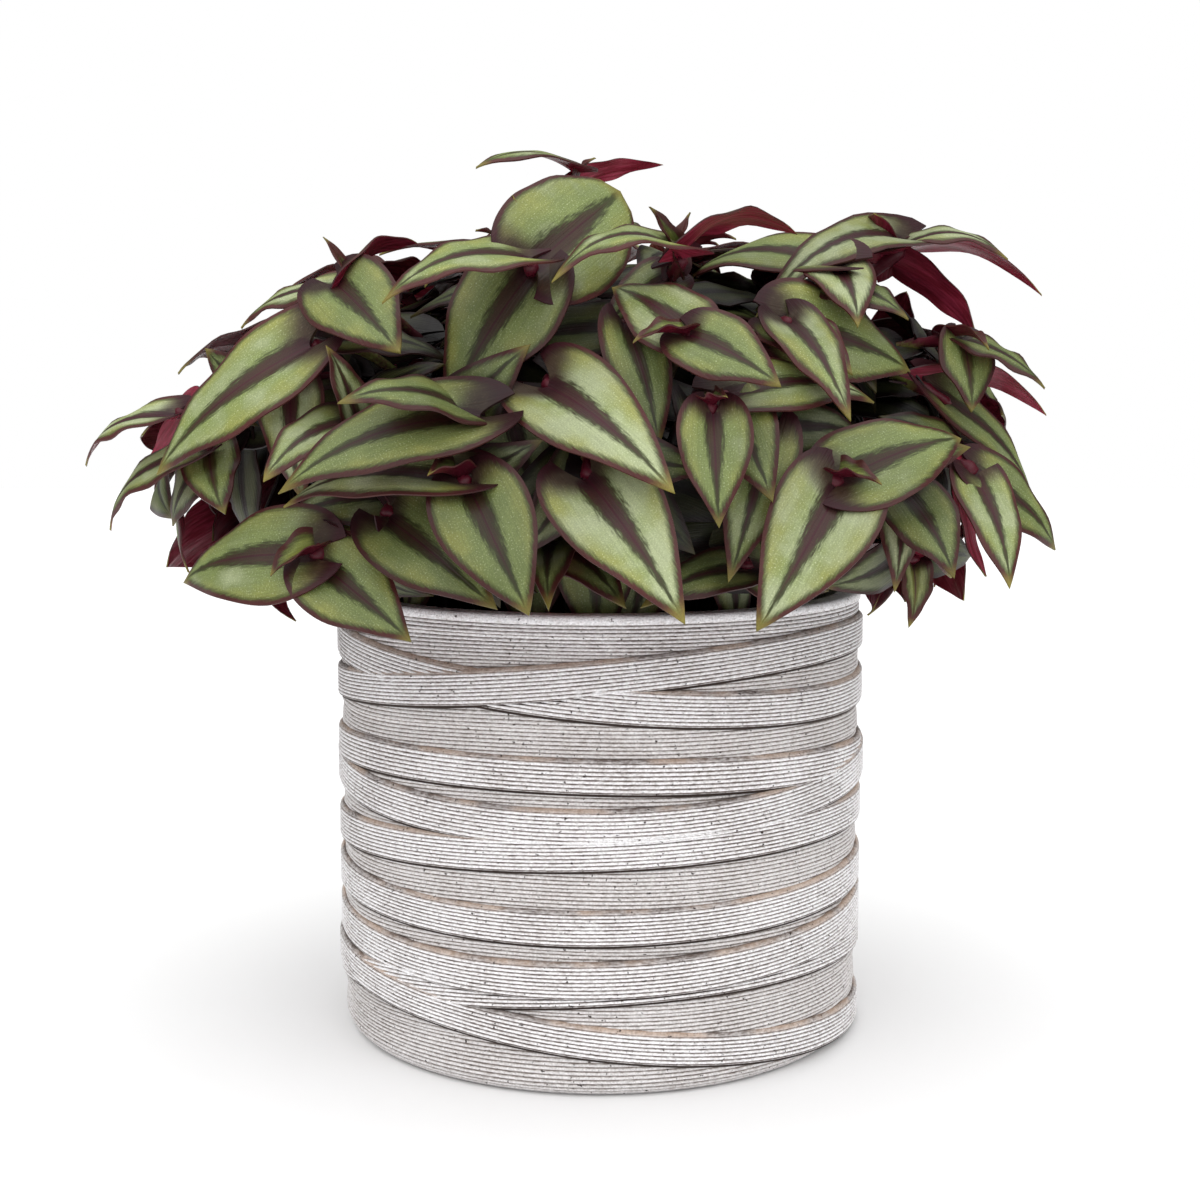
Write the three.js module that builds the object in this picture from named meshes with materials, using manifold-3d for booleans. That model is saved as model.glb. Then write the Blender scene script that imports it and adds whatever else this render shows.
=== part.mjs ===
// Potted tradescantia: a wrapped-strap ceramic pot, its soil and the leafy stems that grow over the rim.
// Millimetres, +Z up. The origin is the middle of the pot's flat base, and -Y is the front.
import * as THREE from 'three';
import { mergeVertices } from 'three/addons/utils/BufferGeometryUtils.js';
import Module from 'manifold-3d';

const wasm = await Module();
wasm.setup();

// Pot
const POT_RADIUS = 74.4;
const POT_HEIGHT = 125;
const WALL = 6.5;
const FLOOR = 8;
const FOOT_ROUND = 5;
const LIP_ROUND = 1.2;
const SEGMENTS = 32;
const FOOT_STEPS = 2;
const STRAP_PROUD = 1.4;
const STRAP_SUNK = 0.9;
const POT_SIMPLER = 0.03;

// Each strap is wound flat round the pot: its mid height at the left, the front, the right and the back
const STRAPS = [
  { name: 'under the rim, rising right', height: 8.4, left: 99.2, front: 109, right: 113.4, back: 103.6 },
  { name: 'under the rim, falling right', height: 8.6, left: 112.6, front: 102.6, right: 98.8, back: 109.2 },
  { name: 'upper', height: 8.2, left: 82, front: 84, right: 78.8, back: 77 },
  { name: 'upper middle', height: 8.8, left: 76.8, front: 70.8, right: 78.6, back: 84 },
  { name: 'middle', height: 8.6, left: 58.4, front: 64.4, right: 64, back: 58 },
  { name: 'lower middle', height: 8.6, left: 46, front: 44.8, right: 47.2, back: 48.4 },
  { name: 'lower', height: 8.8, left: 33.6, front: 31.2, right: 37, back: 39 },
  { name: 'foot, falling right', height: 7.8, left: 23, front: 14.6, right: 5.2, back: 13.6 },
];

// Soil
const SOIL_GAP = 0.3;
const SOIL_TOP = 113;
const HOLE_DEPTH = 9;
const HOLE_RADIUS = 3;
const HOLE_SIDES = 4;

// Stems and leaves
const STEM_RADIUS = 1.8;
const STEM_SIDES = 4;
const STEM_STEPS = 5;
const STEM_SINK = 8.6;
const STEM_RISE = 26;
const ROOT_SPACING = 7.4;
const ROOT_REACH = 56;
const LEAF_BUDGET = 190;
const NODE_STEP = 0.025;

// A blade's middle is the thickest, and its margins are the thinnest. The lobes by the stem reach back and
// fold up, and the margins curl down.
const BLADE = 1.3;
const BLADE_ROWS = [0.13, 0.4, 0.72];
const SHOULDER = 0.45;
const TAPER = 1.08;
const LOBE = 0.13;
const LOBE_FOLD = 0.45;
const FOLD = 0.16;
const CURL = 0.12;

// How finely stems and leaves are joined, and how deep the leaves' roots may be sunk
const SIMPLER = 0.12;
const JOINED = 0.002;
const ROOT_SINKS = [0.65, 0.9, 0.5, 1.4, 0.2, 1.15];

// What a leaf or a stem keeps clear of: the rim and the outside of the pot, its inside wall and the soil
const RIM_CLEAR = 1.6;
const SIDE_CLEAR = 1.8;
const INSIDE_CLEAR = 1.6;
const SOIL_CLEAR = 1.6;

// The plant's outer form is a low dome that spills over the rim: the measured leaves lie near the first,
// and the leaves placed by rule keep inside the second
const DOME = { centre: [-4, 0, 158], radii: [134, 103, 86] };
const LOW_DOME = { centre: [-4, 3, 157], radii: [131, 106, 72] };
const FRONT_FROM = -30;

// The place that the front leaves were measured from: a camera in front of the pot, looking slightly down
const VIEW = { distance: 520, height: 179.1, pitch: 0.112, focal: 1805.6, middle: [600.3, 600] };

// Small vector functions on [x, y, z]
const add = (a, b) => [a[0] + b[0], a[1] + b[1], a[2] + b[2]];
const sub = (a, b) => [a[0] - b[0], a[1] - b[1], a[2] - b[2]];
const mul = (a, k) => [a[0] * k, a[1] * k, a[2] * k];
const dot = (a, b) => a[0] * b[0] + a[1] * b[1] + a[2] * b[2];
const cross = (a, b) => [a[1] * b[2] - a[2] * b[1], a[2] * b[0] - a[0] * b[2], a[0] * b[1] - a[1] * b[0]];
const size = (a) => Math.sqrt(dot(a, a));
const unit = (a) => mul(a, 1 / size(a));
const mix = (a, b, k) => add(mul(a, 1 - k), mul(b, k));
const turn = (a, axis, angle) => {
  const along = mul(axis, dot(a, axis) * (1 - Math.cos(angle)));
  return add(add(mul(a, Math.cos(angle)), mul(cross(axis, a), Math.sin(angle))), along);
};

// A seeded draw, the same on every run
function seeded(seed) {
  let state = seed;
  return () => {
    state = (Math.imul(state, 1664525) + 1013904223) >>> 0;
    return state / 4294967296;
  };
}

// The sight line through a place in the front view, from the camera outwards
function sightLine(px, py) {
  const right = (px - VIEW.middle[0]) / VIEW.focal;
  const up = (VIEW.middle[1] - py) / VIEW.focal;
  const cos = Math.cos(VIEW.pitch);
  const sin = Math.sin(VIEW.pitch);
  return { from: [0, -VIEW.distance, VIEW.height], along: [right, cos + up * sin, up * cos - sin] };
}

// Where that line meets the dome, sunk a few millimetres in along the line
function onDome(px, py, inward) {
  const line = sightLine(px, py);
  const from = [0, 1, 2].map((i) => (line.from[i] - DOME.centre[i]) / DOME.radii[i]);
  const along = [0, 1, 2].map((i) => line.along[i] / DOME.radii[i]);
  const a = dot(along, along);
  const b = dot(from, along);
  const c = dot(from, from) - 1;
  const reach = (-b - Math.sqrt(Math.max(0, b * b - a * c))) / a;
  return add(line.from, mul(line.along, reach + inward));
}

// The place on that line which is a leaf's length from its base, on the near or the far side
function tipAt(base, px, py, length, far) {
  const line = sightLine(px, py);
  const along = unit(line.along);
  const offset = sub(base, line.from);
  const middle = dot(offset, along);
  const gap = dot(offset, offset) - middle * middle;
  const half = Math.sqrt(Math.max(0, length * length - gap));
  return add(line.from, mul(along, far ? middle + half : middle - half));
}

function domeNormal(point) {
  return unit([0, 1, 2].map((i) => (point[i] - DOME.centre[i]) / (DOME.radii[i] * DOME.radii[i])));
}

function lowDomePoint(azimuth, elevation, share) {
  const flat = Math.cos(elevation);
  const ray = [flat * Math.cos(azimuth), flat * Math.sin(azimuth), Math.sin(elevation)];
  return [0, 1, 2].map((i) => LOW_DOME.centre[i] + LOW_DOME.radii[i] * ray[i] * share);
}

// Leaves placed by rule stay inside the low dome, and above the rim at the front
function inRuleSpace(point) {
  const ray = [0, 1, 2].map((i) => (point[i] - LOW_DOME.centre[i]) / LOW_DOME.radii[i]);
  const overFront = point[1] > FRONT_FROM || point[2] > POT_HEIGHT + RIM_CLEAR;
  return overFront && dot(ray, ray) < 1;
}

// Shoots at the front, as they hang on the real plant. A place is given in the front view, with its depth
// inside the dome. A leaf has its tip's place, its length and width in millimetres and the way that its
// upper side faces. Its tip is nearer than its base, or farther where it is marked so.
const FRONT_SHOOTS = [
  {
    name: 'front broad leaf', crown: [588, 480], inward: 5,
    leaves: [{ tip: [688, 620], length: 45, width: 28, face: [0, -0.96, 0.28], arch: 0.1 }],
  },
  {
    name: 'middle broad leaf', crown: [548, 388], inward: 12,
    leaves: [{ tip: [677, 490], length: 41, width: 27, face: [0, -0.9, 0.42], arch: 0.1 }],
  },
  {
    name: 'low middle leaf', crown: [560, 548], inward: 34,
    leaves: [
      { tip: [622, 608], length: 36, width: 17, face: [0.1, -0.8, 0.6], arch: 0.12 },
      { tip: [548, 606], length: 34, width: 17, face: [-0.1, -0.8, 0.6], arch: 0.1 },
    ],
  },
  {
    name: 'middle heart', crown: [508, 406], inward: -1,
    leaves: [
      { tip: [542, 514], length: 30, width: 21, face: [-0.05, -0.97, 0.2], arch: 0.08, fold: 0.35 },
      { tip: [520, 385], length: 8, width: 6, face: [0, -0.5, 0.8], arch: 0.1, fold: 1.1 },
    ],
  },
  {
    name: 'front left crown', crown: [318, 563], inward: 3,
    leaves: [
      { tip: [412, 641], length: 32, width: 24, face: [0.1, -0.95, 0.3], arch: 0.08, fold: 0.25 },
      { tip: [181, 578], length: 44, width: 28, face: [-0.2, -0.85, 0.5], arch: 0.12, far: true },
      { tip: [270, 574], length: 14, width: 10, face: [0, -0.5, 0.85], arch: 0.1, fold: 1.1 },
    ],
  },
  {
    name: 'front crown left of the middle', crown: [470, 488], inward: 0,
    leaves: [
      { tip: [528, 614], length: 35, width: 25, face: [0, -0.97, 0.25], arch: 0.1, fold: 0.2 },
      { tip: [282, 508], length: 48, width: 19, face: [-0.1, -0.6, 0.8], arch: 0.14, far: true },
      { tip: [429, 474], length: 14, width: 9, face: [0, -0.4, 0.9], arch: 0.1, fold: 1.1 },
    ],
  },
  {
    name: 'front right crown', crown: [838, 491], inward: 1,
    leaves: [
      { tip: [760, 631], length: 41, width: 28, face: [0, -0.97, 0.25], arch: 0.1, fold: 0.2 },
      { tip: [965, 440], length: 38, width: 25, face: [0.1, -0.82, 0.58], arch: 0.12, far: true },
      { tip: [881, 483], length: 13, width: 8, face: [0, -0.5, 0.85], arch: 0.1, fold: 1.1 },
    ],
  },
  {
    name: 'right heart', crown: [713, 415], inward: -1,
    leaves: [
      { tip: [716, 527], length: 30, width: 20, face: [0.05, -0.97, 0.2], arch: 0.08, fold: 0.35 },
      { tip: [728, 396], length: 8, width: 6, face: [0, -0.5, 0.8], arch: 0.1, fold: 1.1 },
    ],
  },
  {
    name: 'upper middle leaf', crown: [626, 325], inward: 14,
    leaves: [{ tip: [662, 444], length: 35, width: 17, face: [0.1, -0.93, 0.35], arch: 0.08 }],
  },
  {
    name: 'left of the middle', crown: [481, 418], inward: 10,
    leaves: [
      { tip: [276, 487], length: 52, width: 25, face: [-0.1, -0.75, 0.65], arch: 0.12, far: true },
      { tip: [341, 400], length: 36, width: 19, face: [-0.05, -0.62, 0.78], arch: 0.14 },
    ],
  },
  {
    name: 'rim leaf', crown: [745, 572], inward: 15,
    leaves: [
      { tip: [640, 604], length: 32, width: 15, face: [-0.05, -0.75, 0.65], arch: 0.12 },
      { tip: [830, 592], length: 30, width: 17, face: [0.3, -0.8, 0.4], arch: 0.05, far: true },
    ],
  },
  {
    name: 'dark low leaf', crown: [388, 520], inward: 10,
    leaves: [
      { tip: [493, 610], length: 36, width: 24, face: [0, -0.9, 0.42], arch: 0.1 },
      { tip: [455, 560], length: 26, width: 18, face: [0, -0.9, 0.42], arch: 0.1, far: true },
    ],
  },
  {
    name: 'lower right crown', crown: [974, 478], inward: 12,
    leaves: [
      { tip: [1012, 588], length: 34, width: 18, face: [0.3, -0.9, 0.3], arch: 0.08 },
      { tip: [1056, 551], length: 33, width: 18, face: [0.35, -0.8, 0.5], arch: 0.12, far: true },
      { tip: [984, 577], length: 28, width: 10, face: [-0.7, 0.6, 0.2], arch: 0.08 },
    ],
  },
  {
    name: 'right rim twig', crown: [912, 566], inward: 12,
    leaves: [
      { tip: [912, 627], length: 18, width: 11, face: [0.3, -0.9, 0.2], arch: 0.08, fold: 0.4 },
      { tip: [803, 578], length: 32, width: 10, face: [0, 0.2, 0.9], arch: 0.14, fold: 0.4 },
    ],
  },
  {
    name: 'left side twig', crown: [206, 455], inward: 12,
    leaves: [
      { tip: [109, 528], length: 36, width: 16, face: [-0.35, -0.55, 0.75], arch: 0.18, far: true },
      { tip: [222, 514], length: 20, width: 17, face: [-0.2, -0.9, 0.4], arch: 0.1 },
    ],
  },
  {
    name: 'far left crown', crown: [175, 418], inward: 4,
    leaves: [
      { tip: [83, 464], length: 32, width: 14, face: [-0.25, -0.45, 0.85], arch: 0.16, far: true },
      { tip: [133, 487], length: 25, width: 10, face: [0.5, 0.75, 0.3], arch: 0.1 },
    ],
  },
  {
    name: 'big left leaf', crown: [312, 347], inward: 4,
    leaves: [{ tip: [157, 476], length: 55, width: 27, face: [-0.35, -0.8, 0.5], arch: 0.1, far: true }],
  },
  {
    name: 'up-turned leaf', crown: [352, 425], inward: 12,
    leaves: [
      { tip: [262, 478], length: 31, width: 19, face: [-0.3, -0.8, 0.5], arch: 0.12 },
      { tip: [328, 345], length: 22, width: 12, face: [0.5, -0.8, 0.1], arch: 0.05, fold: 0.5 },
    ],
  },
  {
    name: 'left under leaf', crown: [292, 385], inward: 12,
    leaves: [
      { tip: [300, 500], length: 32, width: 19, face: [-0.2, -0.9, 0.35], arch: 0.08 },
      { tip: [225, 465], length: 32, width: 17, face: [-0.3, -0.85, 0.4], arch: 0.1, far: true },
    ],
  },
  {
    name: 'top crown', crown: [530, 264], inward: -1,
    leaves: [
      { tip: [382, 298], length: 40, width: 21, face: [-0.2, -0.6, 0.8], arch: 0.15 },
      { tip: [622, 192], length: 38, width: 30, face: [-0.05, -0.88, 0.45], arch: 0.06, far: true },
      { tip: [449, 412], length: 45, width: 31, face: [0, -0.96, 0.3], arch: 0.08 },
      { tip: [512, 195], length: 19, width: 8, face: [0.3, -0.9, 0.2], arch: 0.05, fold: 1 },
    ],
  },
  {
    name: 'middle right crown', crown: [690, 337], inward: 0,
    leaves: [
      { tip: [779, 388], length: 28, width: 20, face: [0.1, -0.9, 0.4], arch: 0.1 },
      { tip: [633, 340], length: 17, width: 10, face: [0, -0.3, 0.95], arch: 0.1, fold: 0.7 },
      { tip: [612, 286], length: 30, width: 21, face: [0, -0.85, 0.5], arch: 0.1, far: true },
    ],
  },
  {
    name: 'right middle leaf', crown: [724, 403], inward: 10,
    leaves: [
      { tip: [876, 401], length: 40, width: 21, face: [0.05, -0.65, 0.75], arch: 0.14, far: true },
      { tip: [770, 500], length: 30, width: 20, face: [0.05, -0.95, 0.3], arch: 0.1 },
    ],
  },
  {
    name: 'upright crown', crown: [683, 257], inward: 4,
    leaves: [
      { tip: [550, 275], length: 37, width: 16, face: [-0.05, -0.45, 0.9], arch: 0.2 },
      { tip: [798, 231], length: 35, width: 17, face: [0.05, 0.35, 0.95], arch: 0.22, far: true },
      { tip: [652, 206], length: 18, width: 9, face: [0.5, -0.7, 0.3], arch: 0.05, fold: 0.9 },
      { tip: [690, 212], length: 15, width: 7, face: [-0.5, -0.7, 0.3], arch: 0.05, fold: 0.9, far: true },
    ],
  },
  {
    name: 'top right crown', crown: [907, 247], inward: 4,
    leaves: [
      { tip: [750, 310], length: 48, width: 20, face: [-0.05, -0.65, 0.75], arch: 0.18 },
      { tip: [1009, 257], length: 30, width: 14, face: [0.05, -0.45, 0.88], arch: 0.2 },
      { tip: [978, 337], length: 35, width: 18, face: [0.4, 0.75, 0.5], arch: 0.15 },
      { tip: [1039, 295], length: 42, width: 14, face: [0.2, 0.35, 0.9], arch: 0.22, far: true },
      { tip: [876, 212], length: 15, width: 14, face: [0.4, 0.7, 0.3], arch: 0.1, fold: 0.6 },
    ],
  },
  {
    name: 'upper left crown', crown: [337, 286], inward: 1,
    leaves: [
      { tip: [399, 350], length: 28, width: 24, face: [-0.05, -0.92, 0.4], arch: 0.06 },
      { tip: [418, 240], length: 28, width: 17, face: [0, 0.5, 0.85], arch: 0.16, far: true },
      { tip: [240, 328], length: 32, width: 13, face: [-0.3, -0.5, 0.8], arch: 0.14, far: true },
      { tip: [325, 236], length: 14, width: 7, face: [0.4, -0.7, 0.3], arch: 0.05, fold: 0.9 },
    ],
  },
  {
    name: 'highest crown', crown: [575, 172], inward: 16,
    leaves: [
      { tip: [478, 167], length: 30, width: 14, face: [0, -0.3, 0.95], arch: 0.14 },
      { tip: [661, 165], length: 28, width: 14, face: [0, 0.15, 0.98], arch: 0.14, far: true },
      { tip: [594, 157], length: 12, width: 10, face: [0, -0.4, 0.9], arch: 0.15, fold: 0.5 },
    ],
  },
  {
    name: 'right side bud', crown: [962, 340], inward: 8,
    leaves: [
      { tip: [971, 411], length: 22, width: 17, face: [0.35, -0.85, 0.4], arch: 0.05 },
      { tip: [1045, 387], length: 29, width: 13, face: [0.3, -0.5, 0.8], arch: 0.1, far: true },
      { tip: [990, 346], length: 10, width: 8, face: [0, 0.4, 0.9], arch: 0.1, fold: 0.9 },
    ],
  },
  {
    name: 'right side twig', crown: [952, 404], inward: 16,
    leaves: [
      { tip: [1036, 503], length: 38, width: 17, face: [0.4, -0.8, 0.4], arch: 0.1, far: true },
      { tip: [1047, 411], length: 29, width: 15, face: [0.2, 0.3, 0.9], arch: 0.16, far: true },
    ],
  },
  {
    name: 'right rim leaf', crown: [906, 496], inward: 10,
    leaves: [
      { tip: [957, 576], length: 27, width: 19, face: [0.1, -0.95, 0.3], arch: 0.1 },
      { tip: [893, 592], length: 27, width: 14, face: [0.1, -0.95, 0.3], arch: 0.1, far: true },
    ],
  },
  {
    name: 'dark leaf', crown: [792, 322], inward: 12,
    leaves: [
      { tip: [912, 372], length: 38, width: 22, face: [0.1, -0.85, 0.5], arch: 0.1, far: true },
      { tip: [850, 420], length: 32, width: 17, face: [0.1, -0.8, 0.6], arch: 0.12 },
    ],
  },
  {
    name: 'lower right leaf', crown: [775, 448], inward: 12,
    leaves: [
      { tip: [726, 581], length: 36, width: 19, face: [-0.1, -0.93, 0.3], arch: 0.1 },
      { tip: [905, 560], length: 44, width: 24, face: [0.2, -0.9, 0.35], arch: 0.1, far: true },
    ],
  },
  {
    name: 'behind the top right', crown: [838, 268], inward: 16,
    leaves: [{ tip: [687, 277], length: 43, width: 21, face: [0, -0.6, 0.8], arch: 0.14 }],
  },
];

// Shoots on the sides and the back stand in rings on the dome
const RINGS = [
  { elevation: -0.25, count: 5, from: 0.1, to: 3.04, share: 0.84 },
  { elevation: 0.15, count: 5, from: -0.5, to: 3.64, share: 0.86 },
  { elevation: 0.55, count: 4, from: -0.4, to: 3.54, share: 0.88 },
  { elevation: 0.98, count: 5, from: -0.7, to: 3.84, share: 0.88 },
  { elevation: 1.3, count: 5, from: -1.4, to: 4.5, share: 0.9 },
];
const RING_LEAVES = [
  { along: 0.955, yaw: 1.15, length: 42, width: 23, lift: 0.1 },
  { along: 0.925, yaw: -1.15, length: 46, width: 25, lift: 0.15 },
  { along: 0.985, yaw: 0.1, length: 38, width: 22, lift: -0.15 },
  { along: 1, yaw: -0.35, length: 17, width: 8, lift: 0.6, fold: 1 },
];
const RING_TRIES = 30;
const AZIMUTH_DRAW = 0.2;
const ELEVATION_DRAW = 0.16;

// Leaves lower on the stems, one to a stem at each height in turn
const FILL_HEIGHTS = [0.93, 0.85, 0.77, 0.68];
const FILL_LEAF = { length: 42, width: 23, lift: 0.2 };
const FILL_YAW = 1.1;
const FILL_TRIES = 24;
const SEED = 20417;

// A leaf's outline: heart-shaped at the stem, widest at a third of its length, with a drawn-out tip
const swell = (t) => Math.pow(t, SHOULDER) * Math.pow(1 - t, TAPER);
const WIDEST = swell(SHOULDER / (SHOULDER + TAPER));
const outline = (t) => swell(t) / WIDEST;

// The blade's own axes
function bladeAxes(leaf) {
  const span = sub(leaf.tip, leaf.base);
  const length = size(span);
  const along = mul(span, 1 / length);
  const face = unit(sub(leaf.face, mul(along, dot(leaf.face, along))));
  return { length, along, face, side: cross(along, face) };
}

// A point on the blade's middle surface: t runs from the stem to the tip, v from one margin to the other
function bladePoint(leaf, axes, t, v) {
  const half = leaf.width / 2 * outline(t);
  const near = Math.pow(1 - t, 4);
  const fold = leaf.fold + LOBE_FOLD * near;
  const back = axes.length * LOBE * v * v * near;
  const lean = 1 / Math.sqrt(1 + fold * fold);
  const rise = half * lean * (fold * Math.abs(v) - CURL * v * v);
  const bow = leaf.arch * axes.length * 4 * t * (1 - t);
  const point = add(leaf.base, mul(axes.along, axes.length * t - back));
  return add(add(point, mul(axes.side, v * half * lean)), mul(axes.face, bow + rise));
}

// Cells that are taken, each with the shoot that fills it, and cells that hold a blade
const CELL = 1.6;
const CELL_SHIFT = 0.137;
const taken = new Map();
const bladed = new Set();
const cellOf = (p) => p.map((x) => Math.floor((x + CELL_SHIFT) / CELL));
const keyOf = (i, j, k) => (i + 512) * 1048576 + (j + 512) * 1024 + (k + 512);

function take(points, shoot, blade) {
  for (const point of points) {
    const [i, j, k] = cellOf(point);
    for (let a = -1; a <= 1; a += 1) {
      for (let b = -1; b <= 1; b += 1) {
        for (let c = -1; c <= 1; c += 1) {
          const key = keyOf(i + a, j + b, k + c);
          const owner = taken.get(key);
          taken.set(key, owner === undefined || owner === shoot ? shoot : -1);
          if (blade) bladed.add(key);
        }
      }
    }
  }
}

// Clear of the pot, the soil and everything that is already placed
function clearOfPot([x, y, z]) {
  const reach = Math.sqrt(x * x + y * y);
  if (z > POT_HEIGHT + RIM_CLEAR) return true;
  if (reach > POT_RADIUS + STRAP_PROUD + SIDE_CLEAR) return true;
  return reach < POT_RADIUS - WALL - INSIDE_CLEAR && z > SOIL_TOP + SOIL_CLEAR;
}

function isClear(points, shoot, blade) {
  for (const point of points) {
    const key = keyOf(...cellOf(point));
    const owner = taken.get(key);
    if (owner !== undefined && owner !== shoot) return false;
    if (blade && bladed.has(key)) return false;
  }
  return true;
}

// Sample points on a blade: the stretch by the stem may lie close to the shoot's other leaves
const OWN_STRETCH = 0.3;
function bladeSamples(leaf) {
  const axes = bladeAxes(leaf);
  const rows = Math.ceil(axes.length / CELL);
  const across = Math.ceil(leaf.width / 2 / CELL);
  const samples = { root: [], blade: [] };
  for (let row = 1; row <= rows; row += 1) {
    const t = row / rows;
    for (let column = -across; column <= across; column += 1) {
      const point = bladePoint(leaf, axes, t, column / across);
      samples[t < OWN_STRETCH ? 'root' : 'blade'].push(point);
    }
  }
  return samples;
}

function tryLeaf(leaf, shoot, inside) {
  const samples = bladeSamples(leaf);
  if (inside && !samples.blade.every(inRuleSpace)) return false;
  if (!samples.root.every(clearOfPot) || !samples.blade.every(clearOfPot)) return false;
  if (!isClear(samples.root, shoot, false) || !isClear(samples.blade, shoot, true)) return false;
  take(samples.root, shoot, false);
  take(samples.blade, shoot, true);
  return true;
}

// A stem rises straight out of its hole, clears the rim, then bends to its crown
const STRAIGHT = 1;
const OVER_RIM = 7;
const RISE_SHARE = 1.6;
class StemPath extends THREE.Curve {
  constructor(root, crown, heading, lift, lead) {
    super();
    const reach = size(sub(crown, root));
    this.foot = [root[0], root[1], SOIL_TOP - STEM_SINK];
    this.start = [root[0], root[1], SOIL_TOP + STRAIGHT];
    const rise = Math.max(STEM_RISE, lift * reach, lift * RISE_SHARE * (crown[2] - SOIL_TOP));
    this.rise = add(this.start, [0, 0, rise]);
    this.approach = sub(crown, mul(heading, lead * reach));
    this.approach[2] = Math.max(this.approach[2], POT_HEIGHT + OVER_RIM);
    this.crown = crown;
  }

  at(u) {
    const first = 1 / STEM_STEPS;
    if (u <= first) return mix(this.foot, this.start, u / first);
    const k = (u - first) / (1 - first);
    const m = 1 - k;
    const a = add(mul(this.start, m * m * m), mul(this.rise, 3 * m * m * k));
    const b = add(mul(this.approach, 3 * m * k * k), mul(this.crown, k * k * k));
    return add(a, b);
  }

  getPoint(u, target = new THREE.Vector3()) {
    return target.fromArray(this.at(u));
  }

  getPointAt(u, target) {
    return this.getPoint(u, target);
  }

  getTangentAt(u, target) {
    return this.getTangent(u, target);
  }
}

// Sample points round a stem, on rings of spokes
const STEM_RINGS = 36;
const STEM_SPOKES = 6;
const NEARBY = 0.01;
const SLANT = [0.31, 0.95, 0.04];
function stemSamples(path) {
  const samples = [];
  for (let ring = 0; ring <= STEM_RINGS; ring += 1) {
    const u = ring / STEM_RINGS;
    const point = path.at(u);
    const along = unit(sub(path.at(Math.min(1, u + NEARBY)), path.at(Math.max(0, u - NEARBY))));
    const side = unit(cross(along, SLANT));
    for (let spoke = 0; spoke < STEM_SPOKES; spoke += 1) {
      const out = turn(side, along, 2 * Math.PI * spoke / STEM_SPOKES);
      samples.push(add(point, mul(out, STEM_RADIUS)));
    }
  }
  return samples;
}

// Roots keep the order of their crowns, nearer the middle, so stems don't cross. A root that is too close
// to another moves out along a spiral.
const ROOT_SHARE = 0.5;
const SPIRAL_STEPS = 400;
const SPIRAL_REACH = 1.1;
const SPIRAL_TURN = 2.4;
const roots = [];
function rootFor(crown, ring) {
  const reach = Math.sqrt(crown[0] * crown[0] + crown[1] * crown[1]);
  const angle = Math.atan2(crown[1], crown[0]);
  const wanted = Math.min(ROOT_REACH, ROOT_SHARE * reach);
  for (let step = 0; step < SPIRAL_STEPS; step += 1) {
    const out = SPIRAL_REACH * Math.sqrt(step + ring);
    const root = [
      wanted * Math.cos(angle) + out * Math.cos(SPIRAL_TURN * step),
      wanted * Math.sin(angle) + out * Math.sin(SPIRAL_TURN * step),
      SOIL_TOP,
    ];
    const apart = roots.every((other) => Math.hypot(root[0] - other[0], root[1] - other[1]) > ROOT_SPACING);
    if (apart && Math.hypot(root[0], root[1]) < ROOT_REACH) return root;
  }
  return null;
}

// The way a stem heads at a place on the dome: outwards and down its side, more upright near the top
const HEAD_SIDE = { out: 0.5, down: 0.9 };
const HEAD_TOP = { out: 1, down: 0.3 };
function heading(point) {
  const out = domeNormal(point);
  const down = unit(sub([0, 0, -1], mul(out, -out[2])));
  const high = Math.max(0, out[2]);
  const outwards = HEAD_SIDE.out + (HEAD_TOP.out - HEAD_SIDE.out) * high;
  const downwards = HEAD_SIDE.down + (HEAD_TOP.down - HEAD_SIDE.down) * high;
  return unit(add(mul(out, outwards), mul(down, downwards)));
}

// A crown may lie farther in or out along its sight line, where its stem finds a clear way
const STEM_BENDS = [
  { lift: 0.5, lead: 0.3 }, { lift: 0.7, lead: 0.3 }, { lift: 0.35, lead: 0.3 }, { lift: 0.9, lead: 0.3 },
  { lift: 0.2, lead: 0.15 }, { lift: 0.5, lead: 0.12 }, { lift: 0.8, lead: 0.12 }, { lift: 0.5, lead: 0.5 },
];
const STEM_TURNS = [0, 0.5, -0.5, 1, -1, 1.6, -1.6];
const CROWN_SLIDES = [0, 3, -3, 6, -6, 9, 13, 17, 22];
const ROOT_RINGS = [0, 6, 14, 24, 36, 50];
const HOLE_CLEAR = 2;
function findStem(crown, index) {
  const out = domeNormal(crown);
  for (const ring of ROOT_RINGS) {
    const root = rootFor(crown, ring);
    for (const turned of STEM_TURNS) {
      const steer = turn(heading(crown), out, turned);
      for (const { lift, lead } of STEM_BENDS) {
        const path = new StemPath(root, crown, steer, lift, lead);
        const samples = stemSamples(path);
        const above = samples.filter((p) => p[2] > SOIL_TOP + HOLE_CLEAR);
        if (above.every(clearOfPot) && isClear(samples, index, false)) return { path, steer, samples, root };
      }
    }
  }
  return null;
}

function plantStem(shoot, index) {
  for (const slide of shoot.plan ? CROWN_SLIDES : [0]) {
    const found = findStem(shoot.crownAt(slide), index);
    if (found) {
      roots.push(found.root);
      take(found.samples, index, false);
      Object.assign(shoot, { path: found.path, steer: found.steer });
      return true;
    }
  }
  return false;
}

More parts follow.
